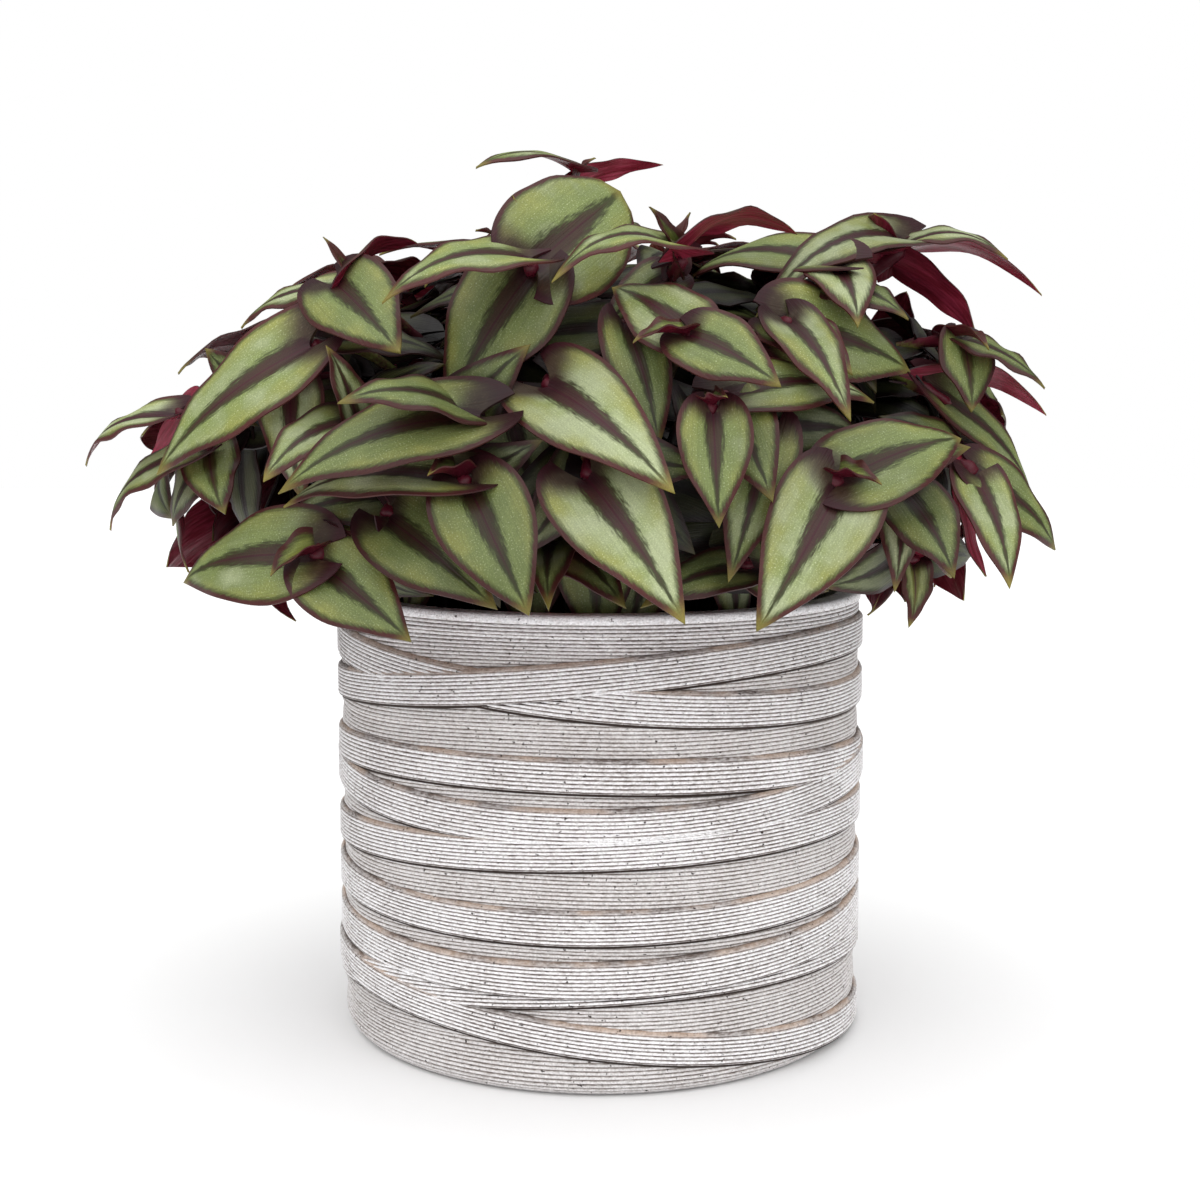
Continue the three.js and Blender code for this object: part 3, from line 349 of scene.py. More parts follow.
def sight_line(px, py):
    """The sight line through a place in the front view, from the camera outwards."""
    right = (px - VIEW_MIDDLE[0]) / VIEW_FOCAL
    up = (VIEW_MIDDLE[1] - py) / VIEW_FOCAL
    cos = math.cos(VIEW_PITCH)
    sin = math.sin(VIEW_PITCH)
    start = np.array([0.0, -VIEW_DISTANCE, VIEW_HEIGHT])
    return start, np.array([right, cos + up * sin, up * cos - sin])


def on_dome(px, py, inward):
    """Where that line meets the dome, sunk a few millimetres in along the line."""
    start, ray = sight_line(px, py)
    near = (start - DOME_CENTRE) / DOME_RADII
    along = ray / DOME_RADII
    a = dot(along, along)
    b = dot(near, along)
    c = dot(near, near) - 1
    reach = (-b - math.sqrt(max(0.0, b * b - a * c))) / a
    return start + ray * (reach + inward)


def tip_at(base, px, py, length, far):
    """The place on that line which is a leaf's length from its base, on the near or the far side."""
    start, ray = sight_line(px, py)
    along = unit(ray)
    offset = base - start
    middle = dot(offset, along)
    gap = dot(offset, offset) - middle * middle
    half = math.sqrt(max(0.0, length * length - gap))
    return start + along * (middle + half if far else middle - half)


def dome_normal(point):
    return unit((point - DOME_CENTRE) / (DOME_RADII * DOME_RADII))


def swell(t):
    return np.power(t, SHOULDER) * np.power(1 - t, TAPER)


WIDEST = swell(SHOULDER / (SHOULDER + TAPER))


def outline(t):
    """A leaf's outline: heart-shaped at the stem, widest before a third of it, with a drawn-out tip."""
    return swell(t) / WIDEST


def blade_axes(blade):
    """The blade's length, and its own axes: along it, out of its upper side, and across it."""
    span = blade["tip"] - blade["base"]
    length = math.sqrt(dot(span, span))
    along = span * (1 / length)
    face = unit(blade["face"] - along * dot(blade["face"], along))
    return length, along, face, cross(along, face)


def blade_points(blade, axes, t, v, crease=0.0, full=1.0, lobe=LOBE, heart=1.0):
    """Points on the blade's middle surface: t runs from the stem to the tip, v from margin to margin."""
    length, along, face, side = axes
    half = blade["width"] / 2 * np.power(outline(np.power(t, heart)), full)
    near = np.power(1 - t, LOBE_POWER)
    fold = blade["fold"] + LOBE_FOLD * near
    back = length * lobe * v * v * near
    lean = 1 / np.sqrt(1 + fold * fold)
    bend = np.sqrt(v * v + crease * crease) - crease
    rise = half * lean * (fold * bend - CURL * v * v)
    bow = blade["arch"] * length * 4 * t * (1 - t)
    point = blade["base"] + along * (length * t - back)[:, None]
    return point + side * (v * half * lean)[:, None] + face * (bow + rise)[:, None]


# Cells that are taken, each with the shoot that fills it, and cells that hold a blade
CELL = 1.6
CELL_SHIFT = 0.137
CELLS = (256, 256, 200)
CELL_MIDDLE = (128, 128, 0)
SHARED = -1
SPREAD = np.array([(a, b, c) for a in (-1, 0, 1) for b in (-1, 0, 1) for c in (-1, 0, 1)])
OWN_STRETCH = 0.3


class Space:
    """The space that the plant fills, so that no shoot runs into another, the pot or the soil."""

    def __init__(self):
        self.taken = np.zeros(CELLS, np.int16)
        self.bladed = np.zeros(CELLS, bool)
        self.solid = np.zeros(CELLS, bool)

    def cells(self, points):
        cells = np.floor((points + CELL_SHIFT) / CELL).astype(int) + CELL_MIDDLE
        return np.clip(cells, 1, np.array(CELLS) - 2)

    def take(self, points, owner, blade):
        cells = np.unique(self.cells(points), axis=0)
        self.solid[tuple(cells.T)] = True
        cells = np.unique((cells[:, None, :] + SPREAD[None]).reshape(-1, 3), axis=0)
        where = tuple(cells.T)
        before = self.taken[where]
        self.taken[where] = np.where((before == 0) | (before == owner), owner, SHARED)
        if blade:
            self.bladed[where] = True

    def is_clear(self, points, owner, blade):
        where = tuple(self.cells(points).T)
        before = self.taken[where]
        if ((before != 0) & (before != owner)).any():
            return False
        return not (blade and self.bladed[where].any())

    def try_close_leaf(self, blade, inside):
        """Takes the blade's own cells if they are free, for a leaf that may come close to others."""
        _, rest = blade_samples(blade)
        if inside and not in_rule_space(rest).all():
            return False
        if not clear_of_pot(rest).all():
            return False
        if self.solid[tuple(self.cells(rest).T)].any():
            return False
        self.solid[tuple(self.cells(rest).T)] = True
        return True

    def try_leaf(self, blade, owner, inside):
        """Takes the blade's space if it is free. The stretch by the stem may lie close to its own shoot."""
        root, rest = blade_samples(blade)
        if inside and not in_rule_space(rest).all():
            return False
        if not (clear_of_pot(root).all() and clear_of_pot(rest).all()):
            return False
        if not (self.is_clear(root, owner, False) and self.is_clear(rest, owner, True)):
            return False
        self.take(root, owner, False)
        self.take(rest, owner, True)
        return True


def in_rule_space(points):
    """Leaves placed by rule stay inside the low dome, and above the rim at the front."""
    ray = (points - LOW_CENTRE) / LOW_RADII
    over_front = (points[:, 1] > FRONT_FROM) | (points[:, 2] > POT_HEIGHT + RIM_CLEAR)
    return over_front & (dot(ray, ray) < 1)


def clear_of_pot(points):
    """Whether each point lies above the rim, beside the straps, or inside the pot and over the soil."""
    reach = np.sqrt(points[:, 0] * points[:, 0] + points[:, 1] * points[:, 1])
    above = points[:, 2] > POT_HEIGHT + RIM_CLEAR
    beside = reach > POT_RADIUS + STRAP_PROUD + SIDE_CLEAR
    inside = (reach < POT_RADIUS - WALL - INSIDE_CLEAR) & (points[:, 2] > SOIL_TOP + SOIL_CLEAR)
    return above | beside | inside


def blade_samples(blade):
    """Points on a blade, about a cell apart: those of its stretch by the stem, and the rest."""
    axes = blade_axes(blade)
    rows = math.ceil(axes[0] / CELL)
    across = math.ceil(blade["width"] / 2 / CELL)
    t, v = np.meshgrid(np.arange(1, rows + 1) / rows, np.arange(-across, across + 1) / across, indexing="ij")
    t = t.ravel()
    points = blade_points(blade, axes, t, v.ravel())
    return points[t < OWN_STRETCH], points[t >= OWN_STRETCH]


# A stem rises straight out of its hole, clears the rim, then bends to its crown
STRAIGHT = 1
OVER_RIM = 7
RISE_SHARE = 1.6


class StemPath:
    """The line of a stem, from its foot in the soil at 0 to its crown at 1."""

    def __init__(self, root, crown, heading, lift, lead):
        reach = math.sqrt(dot(crown - root, crown - root))
        self.foot = np.array([root[0], root[1], SOIL_TOP - STEM_SINK])
        self.start = np.array([root[0], root[1], SOIL_TOP + STRAIGHT], float)
        rise = max(STEM_RISE, lift * reach, lift * RISE_SHARE * (crown[2] - SOIL_TOP))
        self.rise = self.start + np.array([0, 0, rise])
        self.approach = crown - heading * (lead * reach)
        self.approach[2] = max(self.approach[2], POT_HEIGHT + OVER_RIM)
        self.crown = crown

    def points(self, u):
        first = 1 / STEM_STEPS
        low = (u / first)[:, None]
        straight = self.foot * (1 - low) + self.start * low
        k = ((u - first) / (1 - first))[:, None]
        m = 1 - k
        a = self.start * (m * m * m) + self.rise * (3 * m * m * k)
        b = self.approach * (3 * m * k * k) + self.crown * (k * k * k)
        return np.where(u[:, None] <= first, straight, a + b)

    def at(self, u):
        return self.points(np.array([u], float))[0]


STEM_RINGS = 36
STEM_SPOKES = 6
NEARBY = 0.01
SLANT = np.array([0.31, 0.95, 0.04])


def stem_frame(path, u):
    """Points of a stem, with the way it runs there and the way across it."""
    ahead = path.points(np.minimum(1, u + NEARBY))
    along = unit(ahead - path.points(np.maximum(0, u - NEARBY)))
    return path.points(u), along, unit(cross(along, np.broadcast_to(SLANT, along.shape)))


def stem_samples(path):
    points, along, side = stem_frame(path, np.arange(STEM_RINGS + 1) / STEM_RINGS)
    turns = [2 * math.pi * spoke / STEM_SPOKES for spoke in range(STEM_SPOKES)]
    return np.concatenate([points + turn(side, along, angle) * STEM_RADIUS for angle in turns])


# Roots keep the order of their crowns, nearer the middle, so stems don't cross
ROOT_SHARE = 0.5
SPIRAL_STEPS = 400
SPIRAL_REACH = 1.1
SPIRAL_TURN = 2.4


def root_for(crown, ring, roots):
    """A place in the soil for a crown's stem. Too close to another root, it moves out along a spiral."""
    reach = math.sqrt(crown[0] * crown[0] + crown[1] * crown[1])
    angle = math.atan2(crown[1], crown[0])
    wanted = min(ROOT_REACH, ROOT_SHARE * reach)
    for step in range(SPIRAL_STEPS):
        out = SPIRAL_REACH * math.sqrt(step + ring)
        x = wanted * math.cos(angle) + out * math.cos(SPIRAL_TURN * step)
        y = wanted * math.sin(angle) + out * math.sin(SPIRAL_TURN * step)
        apart = all(math.hypot(x - other[0], y - other[1]) > ROOT_SPACING for other in roots)
        if apart and math.hypot(x, y) < ROOT_REACH:
            return np.array([x, y, SOIL_TOP])
    raise RuntimeError("no room in the soil for a stem")


# The way a stem heads at a place on the dome: outwards and down its side, more upright near the top
OUT_SIDE = 0.5
DOWN_SIDE = 0.9
OUT_TOP = 1
DOWN_TOP = 0.3


def stem_heading(point):
    out = dome_normal(point)
    down = unit(np.array([0.0, 0.0, -1.0]) - out * -out[2])
    high = max(0.0, out[2])
    outwards = OUT_SIDE + (OUT_TOP - OUT_SIDE) * high
    downwards = DOWN_SIDE + (DOWN_TOP - DOWN_SIDE) * high
    return unit(out * outwards + down * downwards)


# A crown may lie farther in or out along its sight line, where its stem finds a clear way
STEM_BENDS = [(0.5, 0.3), (0.7, 0.3), (0.35, 0.3), (0.9, 0.3), (0.2, 0.15), (0.5, 0.12), (0.8, 0.12),
              (0.5, 0.5)]
STEM_TURNS = [0, 0.5, -0.5, 1, -1, 1.6, -1.6]
CROWN_SLIDES = [0, 3, -3, 6, -6, 9, 13, 17, 22]
ROOT_RINGS = [0, 6, 14, 24, 36, 50]
HOLE_CLEAR = 2


def find_stem(space, crown, owner, roots):
    """The first free path from the soil to a crown, with its heading, its surface and its root."""
    out = dome_normal(crown)
    for ring in ROOT_RINGS:
        root = root_for(crown, ring, roots)
        for turned in STEM_TURNS:
            steer = turn(stem_heading(crown), out, turned)
            for lift, lead in STEM_BENDS:
                path = StemPath(root, crown, steer, lift, lead)
                samples = stem_samples(path)
                above = samples[samples[:, 2] > SOIL_TOP + HOLE_CLEAR]
                if clear_of_pot(above).all() and space.is_clear(samples, owner, False):
                    return path, steer, samples, root
    return None


def plant_stem(space, plant, owner, roots):
    for slide in CROWN_SLIDES if plant["plan"] else [0]:
        found = find_stem(space, plant["crown_at"](slide), owner, roots)
        if found:
            plant["path"], plant["steer"], samples, root = found
            roots.append(root)
            space.take(samples, owner, False)
            return True
    return False


# A front leaf keeps its place in the view and may lie a little nearer or farther to come clear
SLIDES = [0, -1.5, 1.5, -3, 3, -4.5, 4.5, -6.5, 6.5, -9, 9, -12, 12, -15, 15, -19, 19, 24]
LEANS = [(0, 0, 0), (0, 0, 0.3), (0.3, 0, 0), (-0.3, 0, 0), (0, 0, -0.3)]
NODE_STEPS = [0, 1, 3]

# A leaf that may come close to others tries only the nearest of them
CLOSE_SLIDES = 8
# A measured leaf gets less painted shade for its depth in the plant than one placed by rule
MEASURED_SHADED = 0.4
# The finish of a leaf whose form stays as the growing rule gives it
PLAIN_FINISH = {"round": False, "broad": 1.0, "shift": 0.0, "facing": None, "shaded": 1.0}


def place_front_leaf(space, plant, owner, plan, order, close=False):
    """Adds a measured leaf where it comes clear, on the near or far side of its sight line."""
    for lean in LEANS:
        for step in NODE_STEPS:
            at = 1 - NODE_STEP * (order + step)
            base = plant["path"].at(at)
            tip = tip_at(base, *plan["tip"], plan["length"], plan["far"])
            ray = sight_line(*plan["tip"])[1]
            for slide in SLIDES[:CLOSE_SLIDES] if close else SLIDES:
                face = plan["face"] + np.array(lean)
                blade = {**plan, "base": base, "tip": tip + ray * slide, "face": face, "at": at,
                         "shift": ray * -plan["nearer"], "shaded": MEASURED_SHADED}
                if space.try_close_leaf(blade, False) if close else space.try_leaf(blade, owner, False):
                    plant["leaves"].append(blade)
                    return True
    return False


# A leaf placed by rule leaves the stem to one side and lies along the dome. Each later try may turn farther
# and is smaller.
YAW_DRAW = (0.3, 2.2)
LIFT_DRAW = (0.2, 1.2)
ROLL_DRAW = (0.3, 0.8)
SCALE_DRAW = (0.9, 0.25)
SHRINK = 0.35
RULE_ARCH = (0.08, 0.1)
RULE_FOLD = (0.12, 0.15)
UPTURN = np.array([0, 0, 0.25])


def place_rule_leaf(space, plant, owner, plan, draw, tries, close=False):
    """Adds a leaf by rule at the first draw that comes clear."""
    base = plant["path"].at(plan["along"])
    out = dome_normal(base)
    flat = unit(plant["steer"] - out * dot(plant["steer"], out))
    for attempt in range(tries):
        loose = attempt / tries
        yaw = plan["yaw"] + (draw() - 0.5) * (YAW_DRAW[0] + YAW_DRAW[1] * loose)
        lift = plan["lift"] + (draw() - 0.5) * (LIFT_DRAW[0] + LIFT_DRAW[1] * loose)
        scale = (SCALE_DRAW[0] + SCALE_DRAW[1] * draw()) * (1 - SHRINK * loose)
        roll = (draw() - 0.5) * (ROLL_DRAW[0] + ROLL_DRAW[1] * loose)
        across = turn(flat, out, yaw)
        along = unit(across * math.cos(lift) + out * math.sin(lift))
        upper = out * math.cos(lift) - across * math.sin(lift)
        arch = RULE_ARCH[0] + RULE_ARCH[1] * draw()
        fold = plan["fold"] if plan["fold"] is not None else RULE_FOLD[0] + RULE_FOLD[1] * draw()
        blade = {**PLAIN_FINISH, "base": base, "tip": base + along * (plan["length"] * scale),
                 "face": turn(upper, along, roll) + UPTURN, "width": plan["width"] * scale,
                 "arch": arch, "fold": fold, "at": plan["along"]}
        if space.try_close_leaf(blade, True) if close else space.try_leaf(blade, owner, True):
            plant["leaves"].append(blade)
            return True
    return False


def stem_places(planted):
    """Places along each stem above the rim."""
    first, last, count = RIM_STEM
    spots = np.linspace(first, last, count)
    places = []
    for number, plant in planted:
        for at, point in zip(spots, plant["path"].points(spots)):
            if point[2] > POT_HEIGHT + RIM_CLEAR:
                places.append((number, float(at), point))
    return places


def hang_rim_leaf(space, owners, places, azimuth):
    """A leaf whose tip is hidden inside the rim, from the first stem that it can hang from."""
    out = np.array([math.cos(azimuth), math.sin(azimuth), 0.0])
    tip = out * (POT_RADIUS - WALL - INSIDE_CLEAR - RIM_DEEP) + np.array([0, 0, POT_HEIGHT - RIM_DROP])
    least, wanted, most = RIM_LENGTH
    bases = []
    for number, at, base in places:
        length = math.sqrt(dot(base - tip, base - tip))
        aside = abs(float(cross(out, base - tip)[2]))
        if least < length < most:
            bases.append((abs(length - wanted) + RIM_ASIDE * aside, number, at, length))
    for _, number, at, length in sorted(bases)[:RIM_TRIES]:
        blade = {**PLAIN_FINISH, "base": owners[number]["path"].at(at), "tip": tip, "face": out + UPTURN,
                 "width": RIM_SLIM * length, "arch": RULE_ARCH[0], "fold": RULE_FOLD[0], "at": at,
                 "shaded": MEASURED_SHADED}
        if space.try_close_leaf(blade, False):
            owners[number]["leaves"].append(blade)
            return


def low_dome_point(azimuth, elevation, share):
    flat = math.cos(elevation)
    ray = np.array([flat * math.cos(azimuth), flat * math.sin(azimuth), math.sin(elevation)])
    return LOW_CENTRE + LOW_RADII * ray * share


def all_shoots(draw):
    """The measured shoots at the front, then those in rings on the sides, the back and the top."""
    plants = []
    for plan in front_shoots():
        def crown_at(slide, plan=plan):
            return on_dome(*plan["crown"], plan["inward"] + slide)
        plants.append({"plan": plan, "crown_at": crown_at, "leaves": []})
    for elevation, count, first, last, share in RINGS:
        for step in range(count):
            azimuth = first + (last - first) * ((step + 0.5) / count) + (draw() - 0.5) * AZIMUTH_DRAW
            crown = low_dome_point(azimuth, elevation + (draw() - 0.5) * ELEVATION_DRAW, share)
            plants.append({"plan": None, "crown_at": lambda slide, crown=crown: crown, "leaves": []})
    return plants


def fill_leaf(draw, along, length, width):
    """A leaf lower on a stem, drawn to one side or the other."""
    side = 1 if draw() < 0.5 else -1
    return rule_leaf(along, side * FILL_YAW, length, width, FILL_LIFT)


def grow(seed, most):
    """Each stem with the leaves of its crown, then leaves lower on the stems and inside the rim."""
    draw = seeded(seed)
    space = Space()
    roots = []
    planted = []
    missed = []
    for number, plant in enumerate(all_shoots(draw), 1):
        if not plant_stem(space, plant, number, roots):
            continue
        planted.append((number, plant))
        if plant["plan"]:
            for order, plan in enumerate(plant["plan"]["leaves"]):
                if not place_front_leaf(space, plant, number, plan, order):
                    missed.append((plant, number, plan, order))
        else:
            for plan in RING_LEAVES:
                place_rule_leaf(space, plant, number, plan, draw, RING_TRIES)
    count = sum(len(plant["leaves"]) for number, plant in planted)
    for along in FILL_HEIGHTS:
        for number, plant in planted:
            plan = fill_leaf(draw, along, FILL_LENGTH, FILL_WIDTH)
            if count < most and place_rule_leaf(space, plant, number, plan, draw, FILL_TRIES):
                count += 1
    for plant, number, plan, order in missed:
        place_front_leaf(space, plant, number, plan, order, True)
    added = added_leaves()
    for number, plant in planted:
        if plant["plan"]:
            for plan in added.get(plant["plan"]["name"], []):
                place_front_leaf(space, plant, number, plan, len(plant["plan"]["leaves"]), True)
    places = stem_places(planted)
    for step in range(RIM_LEAVES):
        hang_rim_leaf(space, dict(planted), places, RIM_FIRST + 2 * math.pi * step / RIM_LEAVES)
    for along in INNER_HEIGHTS:
        for number, plant in planted:
            plan = fill_leaf(draw, along, INNER_LENGTH, INNER_WIDTH)
            place_rule_leaf(space, plant, number, plan, draw, INNER_TRIES, True)
    return [plant for number, plant in planted if plant["leaves"]]


# Unevenness of handwork: the turns round the pot that it is made of
SLOW_TURNS = (1, 2, 3, 5)
FINE_TURNS = (7, 11, 16, 23, 31)
TURN_DRAW = (0.4, 1)
# Closer to its last column or row than this, a grid is at its seam or its pole
SEAM = 1e-6


def wander(angle, seed, amount, turns=SLOW_TURNS):
    """A seeded unevenness round the pot, at most about the amount to either side."""
    drawn = random.Random(seed)
    total = np.zeros_like(angle)
    for count in turns:
        total += drawn.uniform(*TURN_DRAW) * np.sin(count * angle + drawn.uniform(0, 2 * math.pi))
    return total * amount / math.sqrt(len(turns))


def seam_angle(u):
    """The angle round a piece, with its last column on its first."""
    return np.where(u > 1 - SEAM, 0, u * 2 * math.pi)


def smooth(x):
    x = np.clip(x, 0, 1)
    return x * x * (3 - 2 * x)


def read_points(mesh):
    co = np.zeros(len(mesh.vertices) * 3, np.float32)
    mesh.vertices.foreach_get("co", co)
    return co.reshape(-1, 3).astype(float)


def write_points(mesh, points):
    mesh.vertices.foreach_set("co", (points * MM).astype(np.float32).ravel())
    mesh.update()


def write_attribute(mesh, name, values):
    """A number or a row of three for each vertex, for the material to read."""
    kind, key = ("FLOAT", "value") if values.ndim == 1 else ("FLOAT_VECTOR", "vector")
    layer = mesh.attributes.get(name) or mesh.attributes.new(name, kind, "POINT")
    layer.data.foreach_set(key, values.astype(np.float32).ravel())


# Points of a seam or a pole lie nearer to each other than this, in metres
DOUBLES = 1e-6


def start_piece(add, name, **settings):
    """Adds a primitive with nothing else selected, and names it."""
    bpy.ops.object.select_all(action="DESELECT")
    add(**settings)
    piece = bpy.context.object
    piece.name = name
    piece.data.name = name
    return piece


def wrap_grid(name, columns, rows, place):
    """A grid of columns by rows, wrapped to its real form by place(u, v), its seams and poles closed."""
    piece = start_piece(bpy.ops.mesh.primitive_grid_add, name, x_subdivisions=columns, y_subdivisions=rows,
                        size=1)
    flat = read_points(piece.data)
    points, attributes = place(flat[:, 0] + 0.5, flat[:, 1] + 0.5)
    write_points(piece.data, points)
    for key, values in attributes.items():
        write_attribute(piece.data, key, values)
    bpy.ops.object.mode_set(mode="EDIT")
    bpy.ops.mesh.select_all(action="SELECT")
    bpy.ops.mesh.remove_doubles(threshold=DOUBLES)
    bpy.ops.mesh.normals_make_consistent(inside=False)
    bpy.ops.object.mode_set(mode="OBJECT")
    bpy.ops.object.shade_smooth()
    return piece


def finish_piece(piece, material, nodes):
    """Gives the piece its finish and its place in the frame."""
    if material is not None:
        piece.data.materials.clear()
        piece.data.materials.append(material)
    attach(piece, "root")
    if nodes:
        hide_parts(*nodes)


# Pot
WALL_COLUMNS = 220
STRAP_COLUMNS = 300
RIDGE_ROWS = 3
RIDGE_DEPTH = 0.5
FOOT_RIDGES = 5
# the foot's first groove and last ridge, as angles of its rounding
FOOT_FROM = -1.25
FOOT_TO = -0.08
BASE_SHARE = 0.5
ARC_STEPS = 4
# the lip stands out over the wall, with a step under it
LIP_PROUD = 0.35
LIP_STEP = 0.2
LIP_UNDER = 0.1
INSIDE_ROWS = (0.8, 0.4)
LAYER_RIDGES = 8
LAYER_STEP = 0.5
WALL_WANDER = 1.5
# the wall is whitest just under its lip
WASHED_FROM = 111
WASHED_OVER = 8
WASHED_SHARE = 0.9
WANDER_FADE = 12
WALL_SEED = 3
# fine unevenness of the ridges: its amount, and how it moves on from a ridge to the next
ROUGH_SEED = 5
ROUGH = 0.07
ROUGH_MOVES = 0.13
# a height under a strap's upper edge at which there are no stains
NO_STAIN = 9.0
STRAP_EDGE = 0.35
# a strap's sole stands this far out, and its rounding has two lines: how far out each is, as a share of the
# strap's thickness, and how far inside the strap's edge
SOLE = 0.1
LOW_ROUND = (0.4, -0.05)
HIGH_ROUND = (0.8, 0.1)
# wear of a strap's ridges, which moves on from a ridge to the next, and of its breadth
WEAR_SEED = 40
WEAR = 0.05
WEAR_ROWS = 3
WEAR_MOVES = 1.7
BREADTH_SEED = 80
BREADTH = 0.03
CREVICE = 0.7
LIFT_SHARE = 0.6
LIFT_REACH = 5


def strap_height(strap, angle):
    """A strap's mid height round the pot: 0 is the right, a quarter turn is the back."""
    _, left, front, right, back = strap
    sides = (left + right) / 2 + (right - left) / 2 * np.cos(angle)
    ends = (front + back) / 2 + (back - front) / 2 * np.sin(angle)
    return sides + ends - (left + right + front + back) / 4


def wall_profile(pitch):
    """The pot's turned outline, from the middle of its base up the outside and down the inside, with how
    much of a ridge, of the ribbing and of the wandering each point has."""
    middle = POT_RADIUS * BASE_SHARE
    rows = [(0, 0, 1, 0, 0), (middle, 0, 1, 0, 0)]

    def arc(x, z, radius, first, last, steps, ridged=0):
        for step in range(steps + 1):
            angle = first + (last - first) * step / steps
            groove = ridged and step % RIDGE_ROWS == 0
            out = radius - (RIDGE_DEPTH if groove else 0)
            rows.append((x + out * math.cos(angle), z + out * math.sin(angle), 0 if groove else 1, ridged, 0))

    foot = POT_RADIUS - FOOT_ROUND
    arc(foot, FOOT_ROUND, FOOT_ROUND, -math.pi / 2, FOOT_FROM + FOOT_TO, 2)
    arc(foot, FOOT_ROUND, FOOT_ROUND, FOOT_FROM, FOOT_TO, FOOT_RIDGES * RIDGE_ROWS - 1, 1)
    top = POT_HEIGHT - LIP_BAND
    count = int((top - FOOT_ROUND) / pitch) * RIDGE_ROWS
    for row in range(count + 1):
        z = FOOT_ROUND + (top - FOOT_ROUND) * row / count
        groove = row % RIDGE_ROWS == 0
        layer = row / RIDGE_ROWS % LAYER_RIDGES / LAYER_RIDGES
        fade = min(1, (z - FOOT_ROUND) / WANDER_FADE, (top - z) / WANDER_FADE)
        radius = POT_RADIUS - (RIDGE_DEPTH if groove else 0) - LAYER_STEP * layer
        rows.append((radius, z, 0 if groove else 1, 1, fade))
    lip = POT_HEIGHT - LIP_ROUND
    rows.append((POT_RADIUS - LIP_STEP, top + LIP_UNDER, 0.5, 0, 0))
    rows.append((POT_RADIUS + LIP_PROUD, top + LIP_PROUD, 1, 0, 0))
    arc(POT_RADIUS + LIP_PROUD - LIP_ROUND, lip, LIP_ROUND, 0, math.pi / 2, ARC_STEPS)
    inside = POT_RADIUS - WALL
    arc(inside + LIP_ROUND, lip, LIP_ROUND, math.pi / 2, math.pi, ARC_STEPS)
    rows += [(inside, POT_HEIGHT * share, 1, 0, 0) for share in INSIDE_ROWS]
    rows += [(out, FLOOR, 1, 0, 0) for out in (inside, middle, 0)]
    return np.array(rows, float)


def pot_wall(sizes):
    """The pot's wall with its foot, lip and inside, ribbed and a little uneven."""
    profile = wall_profile(sizes.ridge_pitch / MM)

    def place(u, v):
        row = profile[np.rint(v * (len(profile) - 1)).astype(int)]
        angle = seam_angle(u)
        ridged = row[:, 3]
        rough = wander(angle + row[:, 1] * ROUGH_MOVES, ROUGH_SEED, ROUGH, FINE_TURNS) * ridged
        radius = np.maximum(0, row[:, 0] + rough * (row[:, 0] > 1))
        z = row[:, 1] + wander(angle, WALL_SEED, WALL_WANDER) * row[:, 4]
        points = np.stack([radius * np.cos(angle), radius * np.sin(angle), z], axis=1)
        washed = WASHED_SHARE * smooth((z - WASHED_FROM) / WASHED_OVER)
        return points, {"crest": row[:, 2], "proud": np.maximum(1 - ridged, washed),
                        "crevice": np.zeros(len(u)), "from_top": np.full(len(u), NO_STAIN)}
    return wrap_grid("pot_wall", WALL_COLUMNS, len(profile) - 1, place)


def strap_section(height, pitch, proud):
    """A strap's section from its lower inner edge round to its upper one: out, up, ridge crest, and the share
    of painted shade in its crevices.
    """
    ridges = round((height - 2 * STRAP_EDGE) / pitch)
    low = -height / 2
    low_out, low_in = LOW_ROUND
    high_out, high_in = HIGH_ROUND
    rows = [(-STRAP_SUNK, low - CREVICE, 0, 1), (SOLE, low - CREVICE, 0, 1),
            (proud * low_out, low + low_in, 0.2, 1), (proud * high_out, low + high_in, 0.7, 0)]
    for row in range(ridges * RIDGE_ROWS + 1):
        up = (row / (ridges * RIDGE_ROWS) - 0.5) * (height - 2 * STRAP_EDGE)
        groove = row % RIDGE_ROWS == 0
        rows.append((proud - (RIDGE_DEPTH if groove else 0), up, 0 if groove else 1, 0))
    rows += [(proud * high_out, -low - high_in, 0.7, 0), (proud * low_out, -low_in - low, 0.5, 0),
             (SOLE, CREVICE - low, 0.2, 0.3), (-STRAP_SUNK, CREVICE - low, 0, 0.3),
             (-STRAP_SUNK, low - CREVICE, 0, 1)]
    return np.array(rows, float)


def pot_strap(name, order, sizes):
    """One strap, lifted over the straps that it crosses."""
    strap = STRAPS[name]
    proud = sizes.strap_proud / MM
    section = strap_section(strap[0], sizes.ridge_pitch / MM, proud)
    under = list(STRAPS.values())[:order]

    def place(u, v):
        row = section[np.rint(v * (len(section) - 1)).astype(int)]
        angle = seam_angle(u)
        middle = strap_height(strap, angle)
        lift = np.zeros_like(angle)
        for other in under:
            reach = (strap[0] + other[0]) / 2
            apart = np.abs(strap_height(other, angle) - middle)
            lift = np.maximum(lift, smooth((reach - apart) / LIFT_REACH))
        top = row[:, 0] > 0
        moved = angle + np.rint(row[:, 1] * WEAR_ROWS) * WEAR_MOVES
        worn = wander(moved, WEAR_SEED + order, WEAR, FINE_TURNS) * top
        out = POT_RADIUS + row[:, 0] + worn + lift * top * proud * LIFT_SHARE
        z = middle + row[:, 1] * (1 + BREADTH * wander(angle, BREADTH_SEED + order, 1))
        points = np.stack([out * np.cos(angle), out * np.sin(angle), z], axis=1)
        return points, {"crest": row[:, 2], "proud": np.ones(len(u)), "crevice": row[:, 3],
                        "from_top": strap[0] / 2 - row[:, 1]}
    return wrap_grid(name, STRAP_COLUMNS, len(section) - 1, place)


